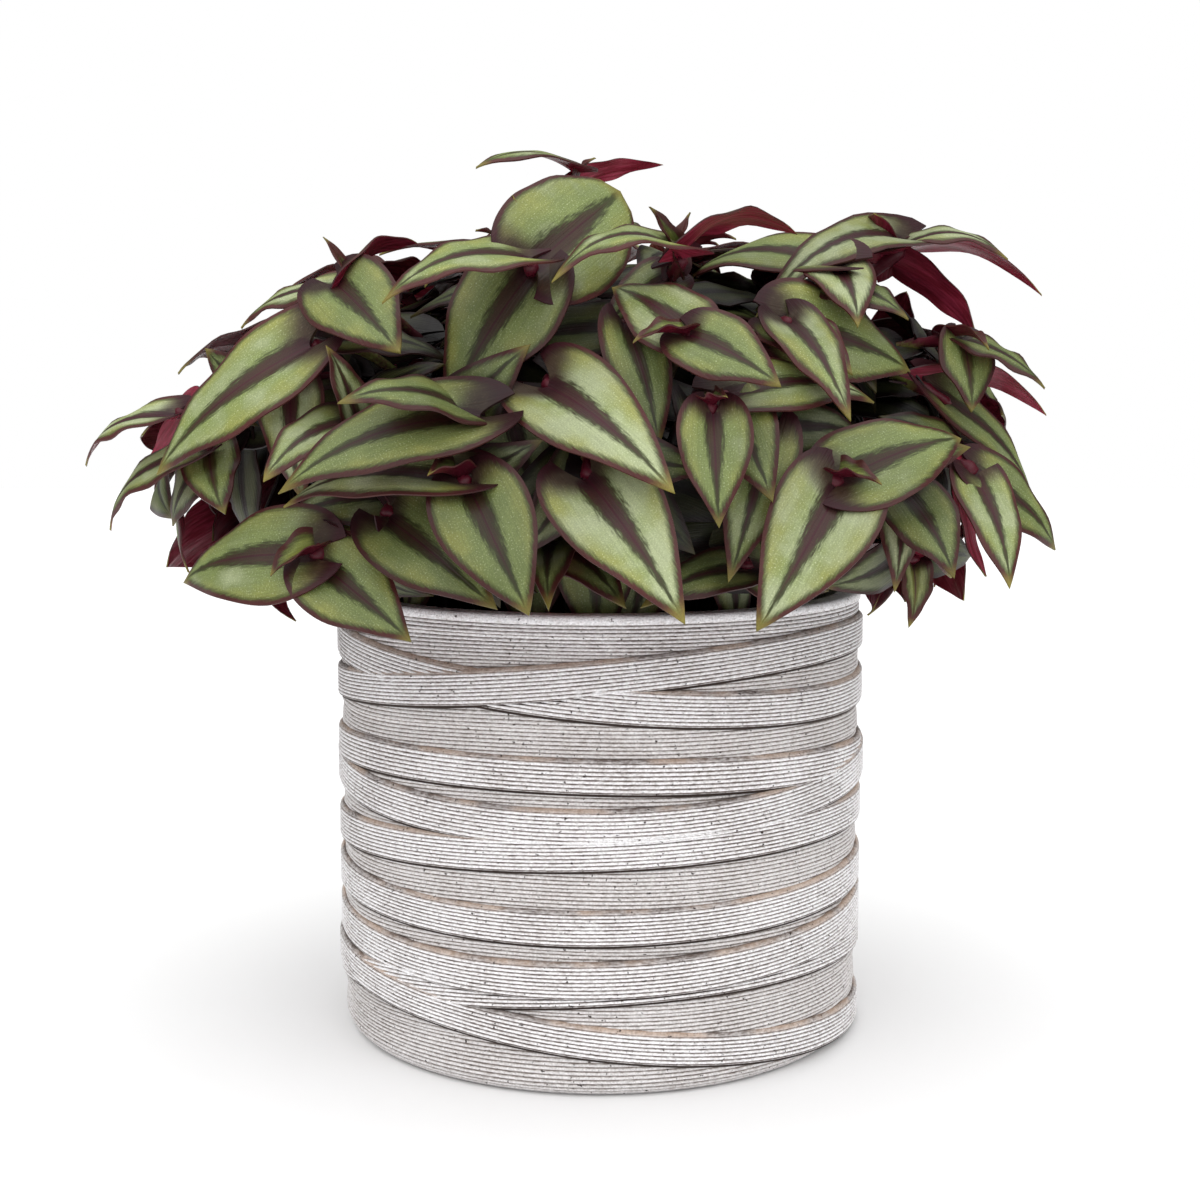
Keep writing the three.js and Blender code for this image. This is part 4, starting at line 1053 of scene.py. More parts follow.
# Soil
SOIL_COLUMNS = 180
SOIL_ROWS = 56
LUMP_WAVES = ((0.25, 0.5), (0.6, 0.32), (1.3, 0.2), (2.4, 0.12))
LUMPS_EACH = 3
LUMP_SEED = 11
LUMP_HEIGHT = 0.6
SOIL_UNDER = 0.9
SOIL_SIDE = 1.5
# the rows of the grid that are the top, and the side down to its lower edge, as shares
TOP_ROWS = 0.8
SIDE_ROWS = 0.9
CRUMBS = 160
CRUMB_SEED = 23
CRUMB_FROM_WALL = 3
CRUMB_LIFT = 0.8
CRUMB_SIZES = ((0.7, 2.2), (0.6, 1.4), (0.5, 0.9))
CRUMB_UNEVEN = (0.75, 1.2)


def lumps(x, y, seed):
    """Seeded bumps of several sizes over a plane."""
    drawn = random.Random(seed)
    total = np.zeros_like(x)
    for pace, amount in LUMP_WAVES:
        for _ in range(LUMPS_EACH):
            way = drawn.uniform(0, 2 * math.pi)
            phase = drawn.uniform(0, 2 * math.pi)
            total += amount * np.sin(pace * (x * math.cos(way) + y * math.sin(way)) + phase)
    return total


def soil_top():
    """The lumpy top of the soil, closed by a short side and a flat under side."""
    radius = POT_RADIUS - WALL - SOIL_GAP

    def place(u, v):
        angle = seam_angle(u)
        top = v < TOP_ROWS
        out = np.where(top, v / TOP_ROWS, np.where(v < SIDE_ROWS, 1, (1 - v) / (1 - SIDE_ROWS))) * radius
        x = out * np.cos(angle)
        y = out * np.sin(angle)
        bumpy = SOIL_TOP + SOIL_UNDER + LUMP_HEIGHT * lumps(x, y, LUMP_SEED)
        z = np.where(top, bumpy, SOIL_TOP - SOIL_SIDE)
        return np.stack([x, y, z], axis=1), {}
    return wrap_grid("soil_top", SOIL_COLUMNS, SOIL_ROWS, place)


def join_pieces(pieces, name):
    """Joins copies into one piece, the first of them."""
    bpy.ops.object.select_all(action="DESELECT")
    for piece in pieces:
        piece.select_set(True)
    bpy.context.view_layer.objects.active = pieces[0]
    if len(pieces) > 1:
        bpy.ops.object.join()
    joined = bpy.context.object
    joined.name = name
    joined.data.name = name
    return joined


def copy_mesh(model, name):
    """A copy of a modelled piece with its own mesh."""
    copy = bpy.data.objects.new(name, model.data.copy())
    bpy.context.scene.collection.objects.link(copy)
    return copy


def soil_crumbs():
    """Loose crumbs of bark and peat on the soil: one lump, copied, each turned and stretched."""
    model = start_piece(bpy.ops.mesh.primitive_ico_sphere_add, "crumb", subdivisions=1, radius=1)
    form = read_points(model.data)
    drawn = random.Random(CRUMB_SEED)
    copies = []
    for number in range(CRUMBS):
        out = (POT_RADIUS - WALL - CRUMB_FROM_WALL) * math.sqrt(drawn.random())
        angle = drawn.uniform(0, 2 * math.pi)
        stretch = np.array([drawn.uniform(*sizes) for sizes in CRUMB_SIZES])
        jitter = np.array([[drawn.uniform(*CRUMB_UNEVEN)] for _ in form])
        spin = drawn.uniform(0, 2 * math.pi)
        shape = form * stretch * jitter
        x = shape[:, 0] * math.cos(spin) - shape[:, 1] * math.sin(spin)
        y = shape[:, 0] * math.sin(spin) + shape[:, 1] * math.cos(spin)
        centre = np.array([out * math.cos(angle), out * math.sin(angle), SOIL_TOP + SOIL_UNDER + CRUMB_LIFT])
        copy = copy_mesh(model, f"crumb_{number}")
        write_points(copy.data, np.stack([x, y, shape[:, 2]], axis=1) + centre)
        copies.append(copy)
    bpy.data.objects.remove(model)
    return join_pieces(copies, "soil_crumbs")


# Stems
STEM_COLUMNS = 10
STEM_ROWS = 64
STEM_POINTS = 200
# a stem tapers from this share of its length to this share of its thickness
TAPER_FROM = 0.3
STEM_TIP = 0.62
NODE_SWELL = 0.5
NODE_REACH = 1.3
SHEATH_SWELL = 0.75
SHEATH_LENGTH = 7
CROWN_FROM = 0.86
CROWN_OVER = 0.06
# a stem gets no painted shade above this share of its length, and full painted shade this share lower down
SHADED_TO = 0.95
SHADED_OVER = 0.4


def stem_piece(name, plant):
    """A round stem that tapers to its crown, swollen at each node, with a leaf's sheath below it."""
    shares = np.linspace(0, 1, STEM_POINTS)
    steps = np.diff(plant["path"].points(shares), axis=0)
    run = np.concatenate([[0], np.cumsum(np.sqrt(dot(steps, steps)))])

    def place(u, v):
        angle = seam_angle(u)
        points, along, side = stem_frame(plant["path"], v)
        far = np.interp(v, shares, run)
        radius = STEM_RADIUS * (1 - (1 - STEM_TIP) * smooth((v - TAPER_FROM) / (1 - TAPER_FROM)))
        for blade in plant["leaves"]:
            node = np.interp(blade["at"], shares, run)
            radius = radius + NODE_SWELL * np.exp(-((far - node) / NODE_REACH) ** 2)
            sheath = (far < node) * smooth((far - node + SHEATH_LENGTH) / SHEATH_LENGTH)
            radius = np.maximum(radius, STEM_RADIUS * STEM_TIP + SHEATH_SWELL * sheath)
        radius = np.minimum(radius, STEM_RADIUS + NODE_SWELL) * ((v > SEAM) & (v < 1 - SEAM))
        around = side * np.cos(angle)[:, None] + cross(along, side) * np.sin(angle)[:, None]
        blank = np.zeros_like(v)
        share = np.stack([blank, far, blank], axis=1)
        young = smooth((v - CROWN_FROM) / CROWN_OVER)
        # painted shade, darker towards the stem's foot
        deep = smooth((SHADED_TO - v) / SHADED_OVER)
        return points + around * radius[:, None], {
            "blade_share": share * 0, "blade_mm": share, "leaf_kind": np.stack([blank, young, deep], axis=1)}
    return wrap_grid(name, STEM_COLUMNS, STEM_ROWS, place)


# Blades
FINE_BLADE = (12, 24)
DEEP_BLADE = (6, 12)
DEEP_FROM = 0.45
BLADE_START = 0.003
ROW_BUNCH = 1.45
MARGIN_HALF = 0.2
RIB_HALF = 0.28
RIB_THINS = 0.5
CREASE = 0.07
DEEP_LOBE = 0.2
RIPPLE = 0.7
RIPPLE_WAVES = (1.6, 2.8)
RIPPLE_SIDES = 0.8
# powers of the outline: lower is fuller along the leaf, and broader by the stem
FULL = (0.82, 1.02)
HEART = (0.7, 0.92)
ROUND_LEAF = 0.5
CUP = 0.12
# the tip hooks to one side and droops: how far, as shares of the length, and how close to the tip
HOOK = 0.035
HOOK_POWER = 4
DROOP = 0.04
DROOP_DRAW = (0.2, 1)
DROOP_POWER = 5
YOUNG_FOLD = 0.45
YOUNG_FOLD_OVER = 0.4
YOUNG_LENGTH = 24
YOUNG_LENGTH_OVER = 10
# each leaf takes another stretch of the patterns
PATTERN_STEP = 7.3
# leaves of a stem have seeds that follow its own, this far from the next stem's
SEED_STEP = 100
# cells on a globe round the plant, in which the depth of a leaf is measured for its painted shade
DEPTH_TURNS = 24
DEPTH_RISES = 14
# painted shade begins this many millimetres under the outermost leaves, and is full that many millimetres
# deeper
DEPTH_FREE = 4
DEPTH_FULL = 28
DEPTH_SHARES = (0.2, 0.4, 0.6, 0.8, 1)
# the flat blade is a little thick, so that its sides lie apart
BLADE_THICK = 0.1
SMOOTH_ANGLE = 1.0


def flat_blade(columns, rows, finishes):
    """The blade that leaves are copies of: a flat grid with an upper side, an under side and a margin."""
    blade = start_piece(bpy.ops.mesh.primitive_grid_add, "blade", x_subdivisions=columns,
                        y_subdivisions=rows, size=1)
    thick = blade.modifiers.new("thickness", "SOLIDIFY")
    thick.thickness = BLADE_THICK
    thick.offset = 0
    thick.material_offset = 1
    thick.material_offset_rim = 0
    for label in ("upper", "under"):
        blade.data.materials.append(bpy.data.materials.new(label))
    bpy.ops.object.modifier_apply(modifier=thick.name)
    bpy.ops.object.shade_smooth_by_angle(angle=SMOOTH_ANGLE)
    sides = np.zeros(len(blade.data.polygons), np.int32)
    blade.data.polygons.foreach_get("material_index", sides)
    blade.data.materials.clear()
    for finish in finishes:
        blade.data.materials.append(finish)
    blade.data.polygons.foreach_set("material_index", sides + 1)
    return blade


def blade_place(points):
    """Each point's cell on a globe round the middle of the dome, and how far out it lies."""
    ray = points - DOME_CENTRE
    out = np.sqrt(dot(ray, ray))
    turns = np.arctan2(ray[:, 1], ray[:, 0]) / (2 * math.pi) % 1
    turns = (turns * DEPTH_TURNS).astype(int) % DEPTH_TURNS
    rises = (0.5 + np.arcsin(ray[:, 2] / out) / math.pi) * DEPTH_RISES
    return turns, np.clip(rises, 0, DEPTH_RISES - 1).astype(int), out


def leaf_depths(plants):
    """How deep each leaf's base and tip lie under the outermost leaves in their direction, from 0 to 1: the
    share of painted shade that its colour gets there.
    """
    ends = np.array([[blade["base"], blade["tip"]] for plant in plants for blade in plant["leaves"]])
    points = np.concatenate([ends[:, 0] + (ends[:, 1] - ends[:, 0]) * share for share in DEPTH_SHARES])
    turns, rises, out = blade_place(points)
    reach = np.zeros((DEPTH_TURNS, DEPTH_RISES))
    np.maximum.at(reach, (turns, rises), out)
    reach = np.maximum(reach, (np.roll(reach, 1, 0) + np.roll(reach, -1, 0)) / 2)
    result = []
    for end in (0, 1):
        turns, rises, out = blade_place(ends[:, end])
        result.append(smooth((reach[turns, rises] - out - DEPTH_FREE) / DEPTH_FULL))
    return np.stack(result, axis=1)


def leaf_kind(blade, length, drawn):
    """A leaf's own tint, and how young it is."""
    folded = smooth((blade["fold"] - YOUNG_FOLD) / YOUNG_FOLD_OVER)
    short = smooth((YOUNG_LENGTH - length) / YOUNG_LENGTH_OVER)
    return drawn.random(), float(max(folded, short))


def leaf_copy(models, blade, depth, seed):
    """One leaf: a copy of a flat blade, bent to its own form. One that lies deep in the plant is coarser."""
    blade = {**blade, "width": blade["width"] * blade["broad"], "tip": blade["tip"] + blade["shift"]}
    if blade["facing"]:
        blade["face"] = np.array(blade["facing"], float)
    model = models[int(min(depth) > DEEP_FROM)]
    flat = read_points(model.data)
    drawn = random.Random(seed)
    axes = blade_axes(blade)
    length = axes[0]
    v = np.clip(flat[:, 0] * 2, -1, 1)
    t = BLADE_START + (1 - BLADE_START) * np.power(np.clip(flat[:, 1] + 0.5, 0, 1), ROW_BUNCH)
    upper = np.where(flat[:, 2] > 0, 1.0, -1.0)
    tint, young = leaf_kind(blade, length, drawn)
    full = ROUND_LEAF if blade["round"] else drawn.uniform(*FULL)
    heart = 1.0 if blade["round"] else random.Random(-seed).uniform(*HEART)
    points = blade_points(blade, axes, t, v, CREASE, full, DEEP_LOBE, heart)
    half = blade["width"] / 2 * np.power(outline(np.power(t, heart)), full)
    cup = CUP * (1 - young) * half * v * v
    thick = MARGIN_HALF + RIB_HALF * (1 - v * v) * (1 - RIB_THINS * t)
    hook = drawn.uniform(-HOOK, HOOK) * length * np.power(t, HOOK_POWER)
    droop = drawn.uniform(*DROOP_DRAW) * DROOP * length * np.power(t, DROOP_POWER)
    phase = drawn.uniform(0, 2 * math.pi)
    waves = drawn.uniform(*RIPPLE_WAVES)
    wave = np.sin(2 * math.pi * waves * t + phase + np.sign(v) * RIPPLE_SIDES)
    ripple = RIPPLE * v * v * wave * np.sin(math.pi * t)
    points = points + axes[2] * (upper * thick + ripple - droop - cup)[:, None] + axes[3] * hook[:, None]
    copy = copy_mesh(model, "leaf")
    write_points(copy.data, points)
    # painted shade of the leaf, from its depth in the plant at its base and at its tip
    deep = (depth[0] + (depth[1] - depth[0]) * t) * blade["shaded"]
    attributes = {"blade_share": (v, t, (1 - np.abs(v)) * half),
                  "blade_mm": (v * half, t * length, np.full(len(t), seed * PATTERN_STEP)),
                  "leaf_kind": (np.full(len(t), tint), np.full(len(t), young), deep)}
    for name, columns in attributes.items():
        write_attribute(copy.data, name, np.stack(columns, axis=1))
    return copy


# Materials
FACTOR, FIRST, SECOND, MIXED = 0, 6, 7, 2
SOFT = {"interpolation_type": "SMOOTHSTEP"}
COLOUR = {"data_type": "RGBA"}
DARKEN = {"data_type": "RGBA", "blend_type": "MULTIPLY"}
PLAIN_GLOSS = 0.5
# a waxy leaf reflects less than plastic does
WAX_GLOSS = 0.3


def give_input(node, key, value):
    """Sets an input of a node, or links it where it is given a socket."""
    if isinstance(value, bpy.types.NodeSocket):
        node.id_data.links.new(value, node.inputs[key])
    else:
        node.inputs[key].default_value = value


def add_node(tree, kind, inputs=(), give=0, **settings):
    """Adds a node with its settings. Its inputs are a row in the node's own order, such as value, from min,
    from max, to min and to max, or are given by name or number. It gives back one of its outputs, or the
    node itself where none is asked for."""
    new = tree.nodes.new("ShaderNode" + kind)
    for key, value in settings.items():
        setattr(new, key, value)
    for key, value in inputs.items() if isinstance(inputs, dict) else enumerate(inputs):
        give_input(new, key, value)
    return new if give is None else new.outputs[give]


def new_material(name):
    """A material with one principled shader, and a call that adds a node to it."""
    material = bpy.data.materials.new(name)
    material.use_nodes = True
    tree = material.node_tree
    tree.nodes.clear()
    shader = add_node(tree, "BsdfPrincipled", give=None)
    add_node(tree, "OutputMaterial", {"Surface": shader.outputs["BSDF"]}, None)
    return material, partial(add_node, tree), shader


def finish_shader(shader, colour, roughness, height, distance, strength, gloss=PLAIN_GLOSS):
    """Gives the shader its colour, roughness and gloss, and relief from a height."""
    relief = {"Height": height, "Distance": distance, "Strength": strength}
    bump = add_node(shader.id_data, "Bump", relief)
    finish = {"Base Color": colour, "Roughness": roughness, "Normal": bump, "Specular IOR Level": gloss}
    for key, value in finish.items():
        give_input(shader, key, value)


def whitewashed_clay(sizes):
    """Rough fired clay under a worn whitewash: chalky ridges, brown-grey grooves, small dark pits, painted
    shade in the crevices under the straps and tan stains along their upper edges."""
    material, add, shader = new_material("whitewashed_clay")
    place = add("TexCoord", give="Object")
    crest, proud, crevice, from_top = [add("Attribute", give="Fac", attribute_name=name)
                                       for name in ("crest", "proud", "crevice", "from_top")]
    # drawn-out streaks along the ridges, about 1.6 mm long and 0.5 mm high
    stretched = add("VectorMath", (place, (620, 620, 2000)), operation="MULTIPLY")
    streaks = add("TexNoise", {"Vector": stretched, "Scale": 1, "Detail": 4})
    # grit of 0.5 mm, as fine as the picture shows
    grit = add("TexNoise", {"Vector": place, "Scale": 1900, "Detail": 2})
    # patches of 20 mm where the wash is thinner
    patches = add("TexNoise", {"Vector": place, "Scale": 50, "Detail": 3})
    worn = add("Math", (streaks, 1.3, crest), operation="MULTIPLY_ADD")
    worn = add("Math", (patches, 0.5, worn), operation="MULTIPLY_ADD")
    wash = add("MapRange", (worn, 0.85, 1.75), **SOFT)
    # chalk on the crests, most of it on what stands proud
    high = add("MapRange", (worn, 1.5, 2.05), **SOFT)
    proud_share = add("Math", (proud, 0.28, 0.72), operation="MULTIPLY_ADD")
    bright = add("Math", (high, proud_share), operation="MULTIPLY")
    # recessed layers are greyer
    back = add("Math", (proud, -0.2, 0.2), operation="MULTIPLY_ADD")
    # tan stains just under a strap's upper edge
    near_top = add("MapRange", (from_top, 0.8, -0.2, 0, 0.6), **SOFT)
    blot = add("MapRange", (patches, 0.4, 0.58), **SOFT)
    stained = add("Math", (near_top, blot), operation="MULTIPLY")
    # painted shade: dark crevices where a strap meets what lies under it
    dark = add("Math", (streaks, 0.6, crevice), operation="MULTIPLY_ADD")
    dark = add("MapRange", (dark, 0.55, 1.1), **SOFT)
    # dark pits of about 0.8 mm, the peaks of a noise of 1.1 mm
    pits = add("TexNoise", {"Vector": place, "Scale": 900, "Detail": 2})
    pits = add("MapRange", (pits, 0.66, 0.74), **SOFT)
    face = sizes.groove
    for share, colour in ((wash, sizes.clay), (bright, sizes.whitewash), (back, sizes.recess),
                          (stained, sizes.stain), (dark, sizes.crevice), (pits, sizes.crevice)):
        face = add("Mix", {FACTOR: share, FIRST: face, SECOND: colour}, MIXED, **COLOUR)
    tone = add("MapRange", (grit, 0.3, 0.7, 0.78, 1.14))
    toned = add("VectorMath", {0: face, "Scale": tone}, operation="SCALE")
    height = add("Math", (grit, streaks), operation="ADD")
    finish_shader(shader, toned, 0.88, height, 0.0003, 0.6)
    return material


def potting_soil(sizes):
    """Moist peat with bark: dark brown, matt, grains of 1 to 3 mm."""
    material, add, shader = new_material("potting_soil")
    place = add("TexCoord", give="Object")
    grain = add("TexNoise", {"Vector": place, "Scale": 600, "Detail": 5})
    share = add("MapRange", (grain, 0.35, 0.7), **SOFT)
    colour = add("Mix", {FACTOR: share, FIRST: sizes.peat, SECOND: sizes.bark}, MIXED, **COLOUR)
    finish_shader(shader, colour, 0.95, grain, 0.001, 0.8)
    return material


def blade_inputs(add):
    """What a blade carries: its place across and along, its distance from the margin, its place in
    millimetres, how tinted and young it is, and how much painted shade it gets for its depth in the plant."""
    share, place, kind = [add("Attribute", give="Vector", attribute_name=name)
                          for name in ("blade_share", "blade_mm", "leaf_kind")]
    across, along, edge = add("SeparateXYZ", (share,), None).outputs
    tint, young, deep = add("SeparateXYZ", (kind,), None).outputs
    return {"across": add("Math", (across,), operation="ABSOLUTE"), "along": along, "edge": edge,
            "place": place, "tint": tint, "young": young, "deep": deep}


def leaf_upper(colours):
    """The upper side of a leaf, a thin waxy skin over silvery cells: two pale bands with fine painted glints,
    a purple stripe that feathers through dark green between them, and a dark green and purple margin."""
    material, add, shader = new_material("leaf_upper")
    part = blade_inputs(add)
    # feathering along the leaf, 0.5 mm wide and 3 mm long
    feather_way = add("VectorMath", (part["place"], (2.0, 0.33, 1)), operation="MULTIPLY")
    feather = add("TexNoise", {"Vector": feather_way, "Scale": 1, "Detail": 4})
    # veins along the leaf, 0.5 mm apart
    vein_way = add("VectorMath", (part["place"], (2.2, 0.06, 1)), operation="MULTIPLY")
    veins = add("TexNoise", {"Vector": vein_way, "Scale": 1, "Detail": 2})
    # grain of the cells, 0.4 mm, as fine as the picture shows: their tone, roughness, relief and painted
    # glints
    grain = add("TexNoise", {"Vector": part["place"], "Scale": 2.6, "Detail": 3})
    # blotches of 10 mm
    blotch = add("TexNoise", {"Vector": part["place"], "Scale": 0.1, "Detail": 3})
    # pale band, greener in blotches and by the leaf's own tint, yellower towards the margin
    green = add("Math", (part["tint"], 0.55, blotch), operation="MULTIPLY_ADD")
    green = add("MapRange", (green, 0.42, 0.85), **SOFT)
    outer = add("Math", (blotch, 1.3, part["across"]), operation="MULTIPLY_ADD")
    outer = add("MapRange", (outer, 1.0, 1.75, 0, 0.75), **SOFT)
    # painted glints: the brightest cells of the bands painted pale
    painted_glint = add("MapRange", (grain, 0.58, 0.7, 0, 0.4), **SOFT)
    # dark green stripe: a third of the width by the stem, a tenth by the tip
    width = add("MapRange", (part["along"], 0, 1, 0.31, 0.08))
    ragged = add("Math", (feather, 0.3, part["across"]), operation="MULTIPLY_ADD")
    beyond = add("Math", (ragged, width), operation="SUBTRACT")
    in_stripe = add("MapRange", (beyond, 0.24, 0.08, 0, 0.96), **SOFT)
    # purple along its middle, which fades out towards the tip and is weaker on some leaves
    purple = add("MapRange", (beyond, 0.15, 0.01), **SOFT)
    fading = add("MapRange", (part["along"], 0.92, 0.45), **SOFT)
    strength = add("MapRange", (part["tint"], 0, 1, 1, 0.6))
    for factor in (fading, strength):
        purple = add("Math", (purple, factor), operation="MULTIPLY")
    stripe = add("Mix", {FACTOR: purple, FIRST: colours.inner, SECOND: colours.stripe}, MIXED, **COLOUR)
    # young leaves are yellow-green
    young = add("Math", (part["young"], 0.6), operation="MULTIPLY")
    # dark green line along the margin, 2 mm wide, and the purple margin, 1 mm wide, wider on young leaves
    wide = add("Math", (part["young"], -0.4, 1), operation="MULTIPLY_ADD")
    edge = add("Math", (part["edge"], wide), operation="MULTIPLY")
    edge = add("Math", (feather, 1.6, edge), operation="MULTIPLY_ADD")
    inner = add("MapRange", (edge, 3.4, 1.9, 0, 0.8), **SOFT)
    rim = add("MapRange", (edge, 2.2, 1.5, 0, 0.92), **SOFT)
    # olive tip; dark maroon where the leaf meets the stem, partly its own colour and partly painted shade of
    # the crown
    tip = add("MapRange", (part["along"], 0.86, 0.99, 0, 0.85), **SOFT)
    foot = add("Math", (blotch, 0.12, part["along"]), operation="MULTIPLY_ADD")
    foot = add("MapRange", (foot, 0.23, 0.08, 0, 0.9), **SOFT)
    # midrib line, 0.5 mm
    sideways = add("SeparateXYZ", (part["place"],))
    sideways = add("Math", (sideways,), operation="ABSOLUTE")
    rib = add("MapRange", (sideways, 0.45, 0.1, 0, 0.7), **SOFT)
    rib = add("Math", (rib, fading), operation="MULTIPLY")
    face = colours.silver
    for share, colour in ((green, colours.green), (outer, colours.outer), (painted_glint, colours.painted_glint),
                          (in_stripe, stripe), (young, colours.young), (inner, colours.inner),
                          (rim, colours.margin), (tip, colours.tip), (foot, colours.foot),
                          (rib, colours.rib)):
        face = add("Mix", {FACTOR: share, FIRST: face, SECOND: colour}, MIXED, **COLOUR)
    # painted shade: leaves deeper in the plant are multiplied by the dark shade colour
    deep = add("Math", (part["deep"], 0.95), operation="MULTIPLY")
    face = add("Mix", {FACTOR: deep, FIRST: face, SECOND: colours.shade}, MIXED, **DARKEN)
    # tone of the cells, of the leaf as a whole, of its blotches and of its veins
    tone = add("MapRange", (grain, 0.3, 0.7, 0.84, 1.14))
    own = add("MapRange", (part["tint"], 0.5, 1, 1.04, 0.7))
    patchy = add("MapRange", (blotch, 0.35, 0.65, 0.88, 1.1))
    veined = add("MapRange", (veins, 0.35, 0.65, 0.93, 1.07))
    for factor in (own, patchy, veined):
        tone = add("Math", (tone, factor), operation="MULTIPLY")
    toned = add("VectorMath", {0: face, "Scale": tone}, operation="SCALE")
    rough = add("MapRange", (grain, 0.3, 0.7, 0.36, 0.52))
    height = add("Math", (grain, 0.35, veins), operation="MULTIPLY_ADD")
    finish_shader(shader, toned, rough, height, 0.0003, 0.4, WAX_GLOSS)
    return material


def leaf_under(colours):
    """The under side of a leaf: smooth wine-purple skin, glossier than the upper side, with long veins."""
    material, add, shader = new_material("leaf_under")
    part = blade_inputs(add)
    # veins along the leaf, 0.7 mm wide and 10 mm long
    vein_way = add("VectorMath", (part["place"], (1.4, 0.1, 1)), operation="MULTIPLY")
    veins = add("TexNoise", {"Vector": vein_way, "Scale": 1, "Detail": 3})
    pale = add("MapRange", (veins, 0.35, 0.7), **SOFT)
    face = colours.under
    for share, colour in ((pale, colours.under_vein), (part["young"], colours.under_young)):
        face = add("Mix", {FACTOR: share, FIRST: face, SECOND: colour}, MIXED, **COLOUR)
    # painted shade: under sides deeper in the plant are multiplied by the dark shade colour
    face = add("Mix", {FACTOR: part["deep"], FIRST: face, SECOND: colours.shade}, MIXED, **DARKEN)
    finish_shader(shader, face, 0.36, veins, 0.0004, 0.5, WAX_GLOSS)
    return material


def stem_skin(colours):
    """Succulent stem skin: smooth maroon with olive-green lengths between the nodes, darkened by painted
    shade lower down.
    """
    material, add, shader = new_material("stem_skin")
    part = blade_inputs(add)
    place = add("TexCoord", give="Object")
    # lengths of 14 mm, and speckle of 0.7 mm
    lengths = add("TexNoise", {"Vector": place, "Scale": 70, "Detail": 2})
    speckle = add("TexNoise", {"Vector": place, "Scale": 1400, "Detail": 2})
    mix = add("Math", (speckle, 0.3, lengths), operation="MULTIPLY_ADD")
    olive = add("MapRange", (mix, 0.55, 0.8), **SOFT)
    skin = colours.stem
    for share, colour in ((olive, colours.stem_green), (part["young"], colours.under_young)):
        skin = add("Mix", {FACTOR: share, FIRST: skin, SECOND: colour}, MIXED, **COLOUR)
    # painted shade: the stem is multiplied by the dark shade colour lower down, where it lies deep in the
    # plant
    skin = add("Mix", {FACTOR: part["deep"], FIRST: skin, SECOND: colours.shade}, MIXED, **DARKEN)
    finish_shader(shader, skin, 0.42, speckle, 0.0003, 0.3, WAX_GLOSS)
    return material


def studio_floor(stage):
    """Matt pale paper."""
    material, _, shader = new_material("studio_paper")
    give_input(shader, "Base Color", stage.floor)
    give_input(shader, "Roughness", 0.9)
    return material


def linear(hex_colour):
    """An sRGB hex colour in linear light."""
    shares = [int(hex_colour[i:i + 2], 16) / 255 for i in (1, 3, 5)]
    return tuple(c / 12.92 if c <= 0.04045 else ((c + 0.055) / 1.055) ** 2.4 for c in shares) + (1.0,)


def colour_prop(name, description, hex_colour):
    return FloatVectorProperty(name=name, description=description, subtype="COLOR", size=4, min=0, max=1,
                               default=linear(hex_colour))


class PlantPot(bpy.types.PropertyGroup):
    strap_proud: FloatProperty(name="Strap thickness", description="How far a strap stands out of the wall",
                               default=1.1 * MM, min=0, unit="LENGTH")
    ridge_pitch: FloatProperty(name="Ridge spacing",
                               description="Height of one ridge of the straps and the wall",
                               default=1.02 * MM, min=0.5 * MM, unit="LENGTH")
    whitewash: colour_prop("Whitewash", "Chalky tops of the ridges", "#f4f3f5")
    clay: colour_prop("Clay", "Sides of the ridges, under a thin wash", "#d5d0cf")
    groove: colour_prop("Groove", "Bare clay in the grooves", "#5f524b")
    recess: colour_prop("Recess", "The layers behind the straps", "#a0978f")
    # the crevice colour is painted shade under the straps, and the dark pits of the clay
    crevice: colour_prop("Crevice", "Under the straps and in the pits", "#2b1c15")
    stain: colour_prop("Stain", "Tan stains on the upper edges of the straps", "#c4a994")


class PlantSoil(bpy.types.PropertyGroup):
    peat: colour_prop("Peat", "Moist peat", "#1d1510")
    bark: colour_prop("Bark", "Bark and drier grains", "#4a3826")


class PlantLeaves(bpy.types.PropertyGroup):
    most: IntProperty(name="Leaves", description="The most leaves before those inside the plant are added",
                      default=600, min=190)
    seed: IntProperty(name="Seed", description="Start of the seeded draws, as in the part's source",
                      default=20417)
    silver: colour_prop("Silver", "The silvery cells of the two bands", "#a5ae86")
    green: colour_prop("Green", "The greener blotches of the two bands", "#75824b")
    outer: colour_prop("Outer", "The yellower outer part of the bands", "#8c8c46")
    # painted glints on the cells of the bands
    painted_glint: colour_prop("Sparkle", "The brightest cells of the bands", "#c4caaa")
    stripe: colour_prop("Stripe", "The purple along the middle", "#3a0d1b")
    tip: colour_prop("Tip", "The olive tip of a leaf", "#7d7534")
    rib: colour_prop("Midrib", "The line of the midrib", "#3f0e1f")
    inner: colour_prop("Dark green", "Round the stripe and inside the margin", "#343b18")
    margin: colour_prop("Margin", "The margin of a leaf", "#4a1a1f")
    # the foot's dark maroon is partly the leaf's own colour and partly painted shade of the crown
    foot: colour_prop("Foot", "Where a leaf meets the stem", "#331019")
    # painted shade: the dark colour that leaves and stems deep in the plant are multiplied by
    shade: colour_prop("Shade", "What leaves deep in the plant are multiplied by", "#302c12")
    young: colour_prop("Young", "The upper side of a young leaf", "#949c45")
    under: colour_prop("Under side", "The under side of a leaf", "#74192a")
    under_vein: colour_prop("Under veins", "Paler veins of the under side", "#983048")
    under_young: colour_prop("Young under side", "The under side of a young leaf", "#4e0f1e")
    stem: colour_prop("Stem", "Maroon skin of a stem", "#561c28")
    stem_green: colour_prop("Stem green", "Olive-green skin of a stem", "#75803f")


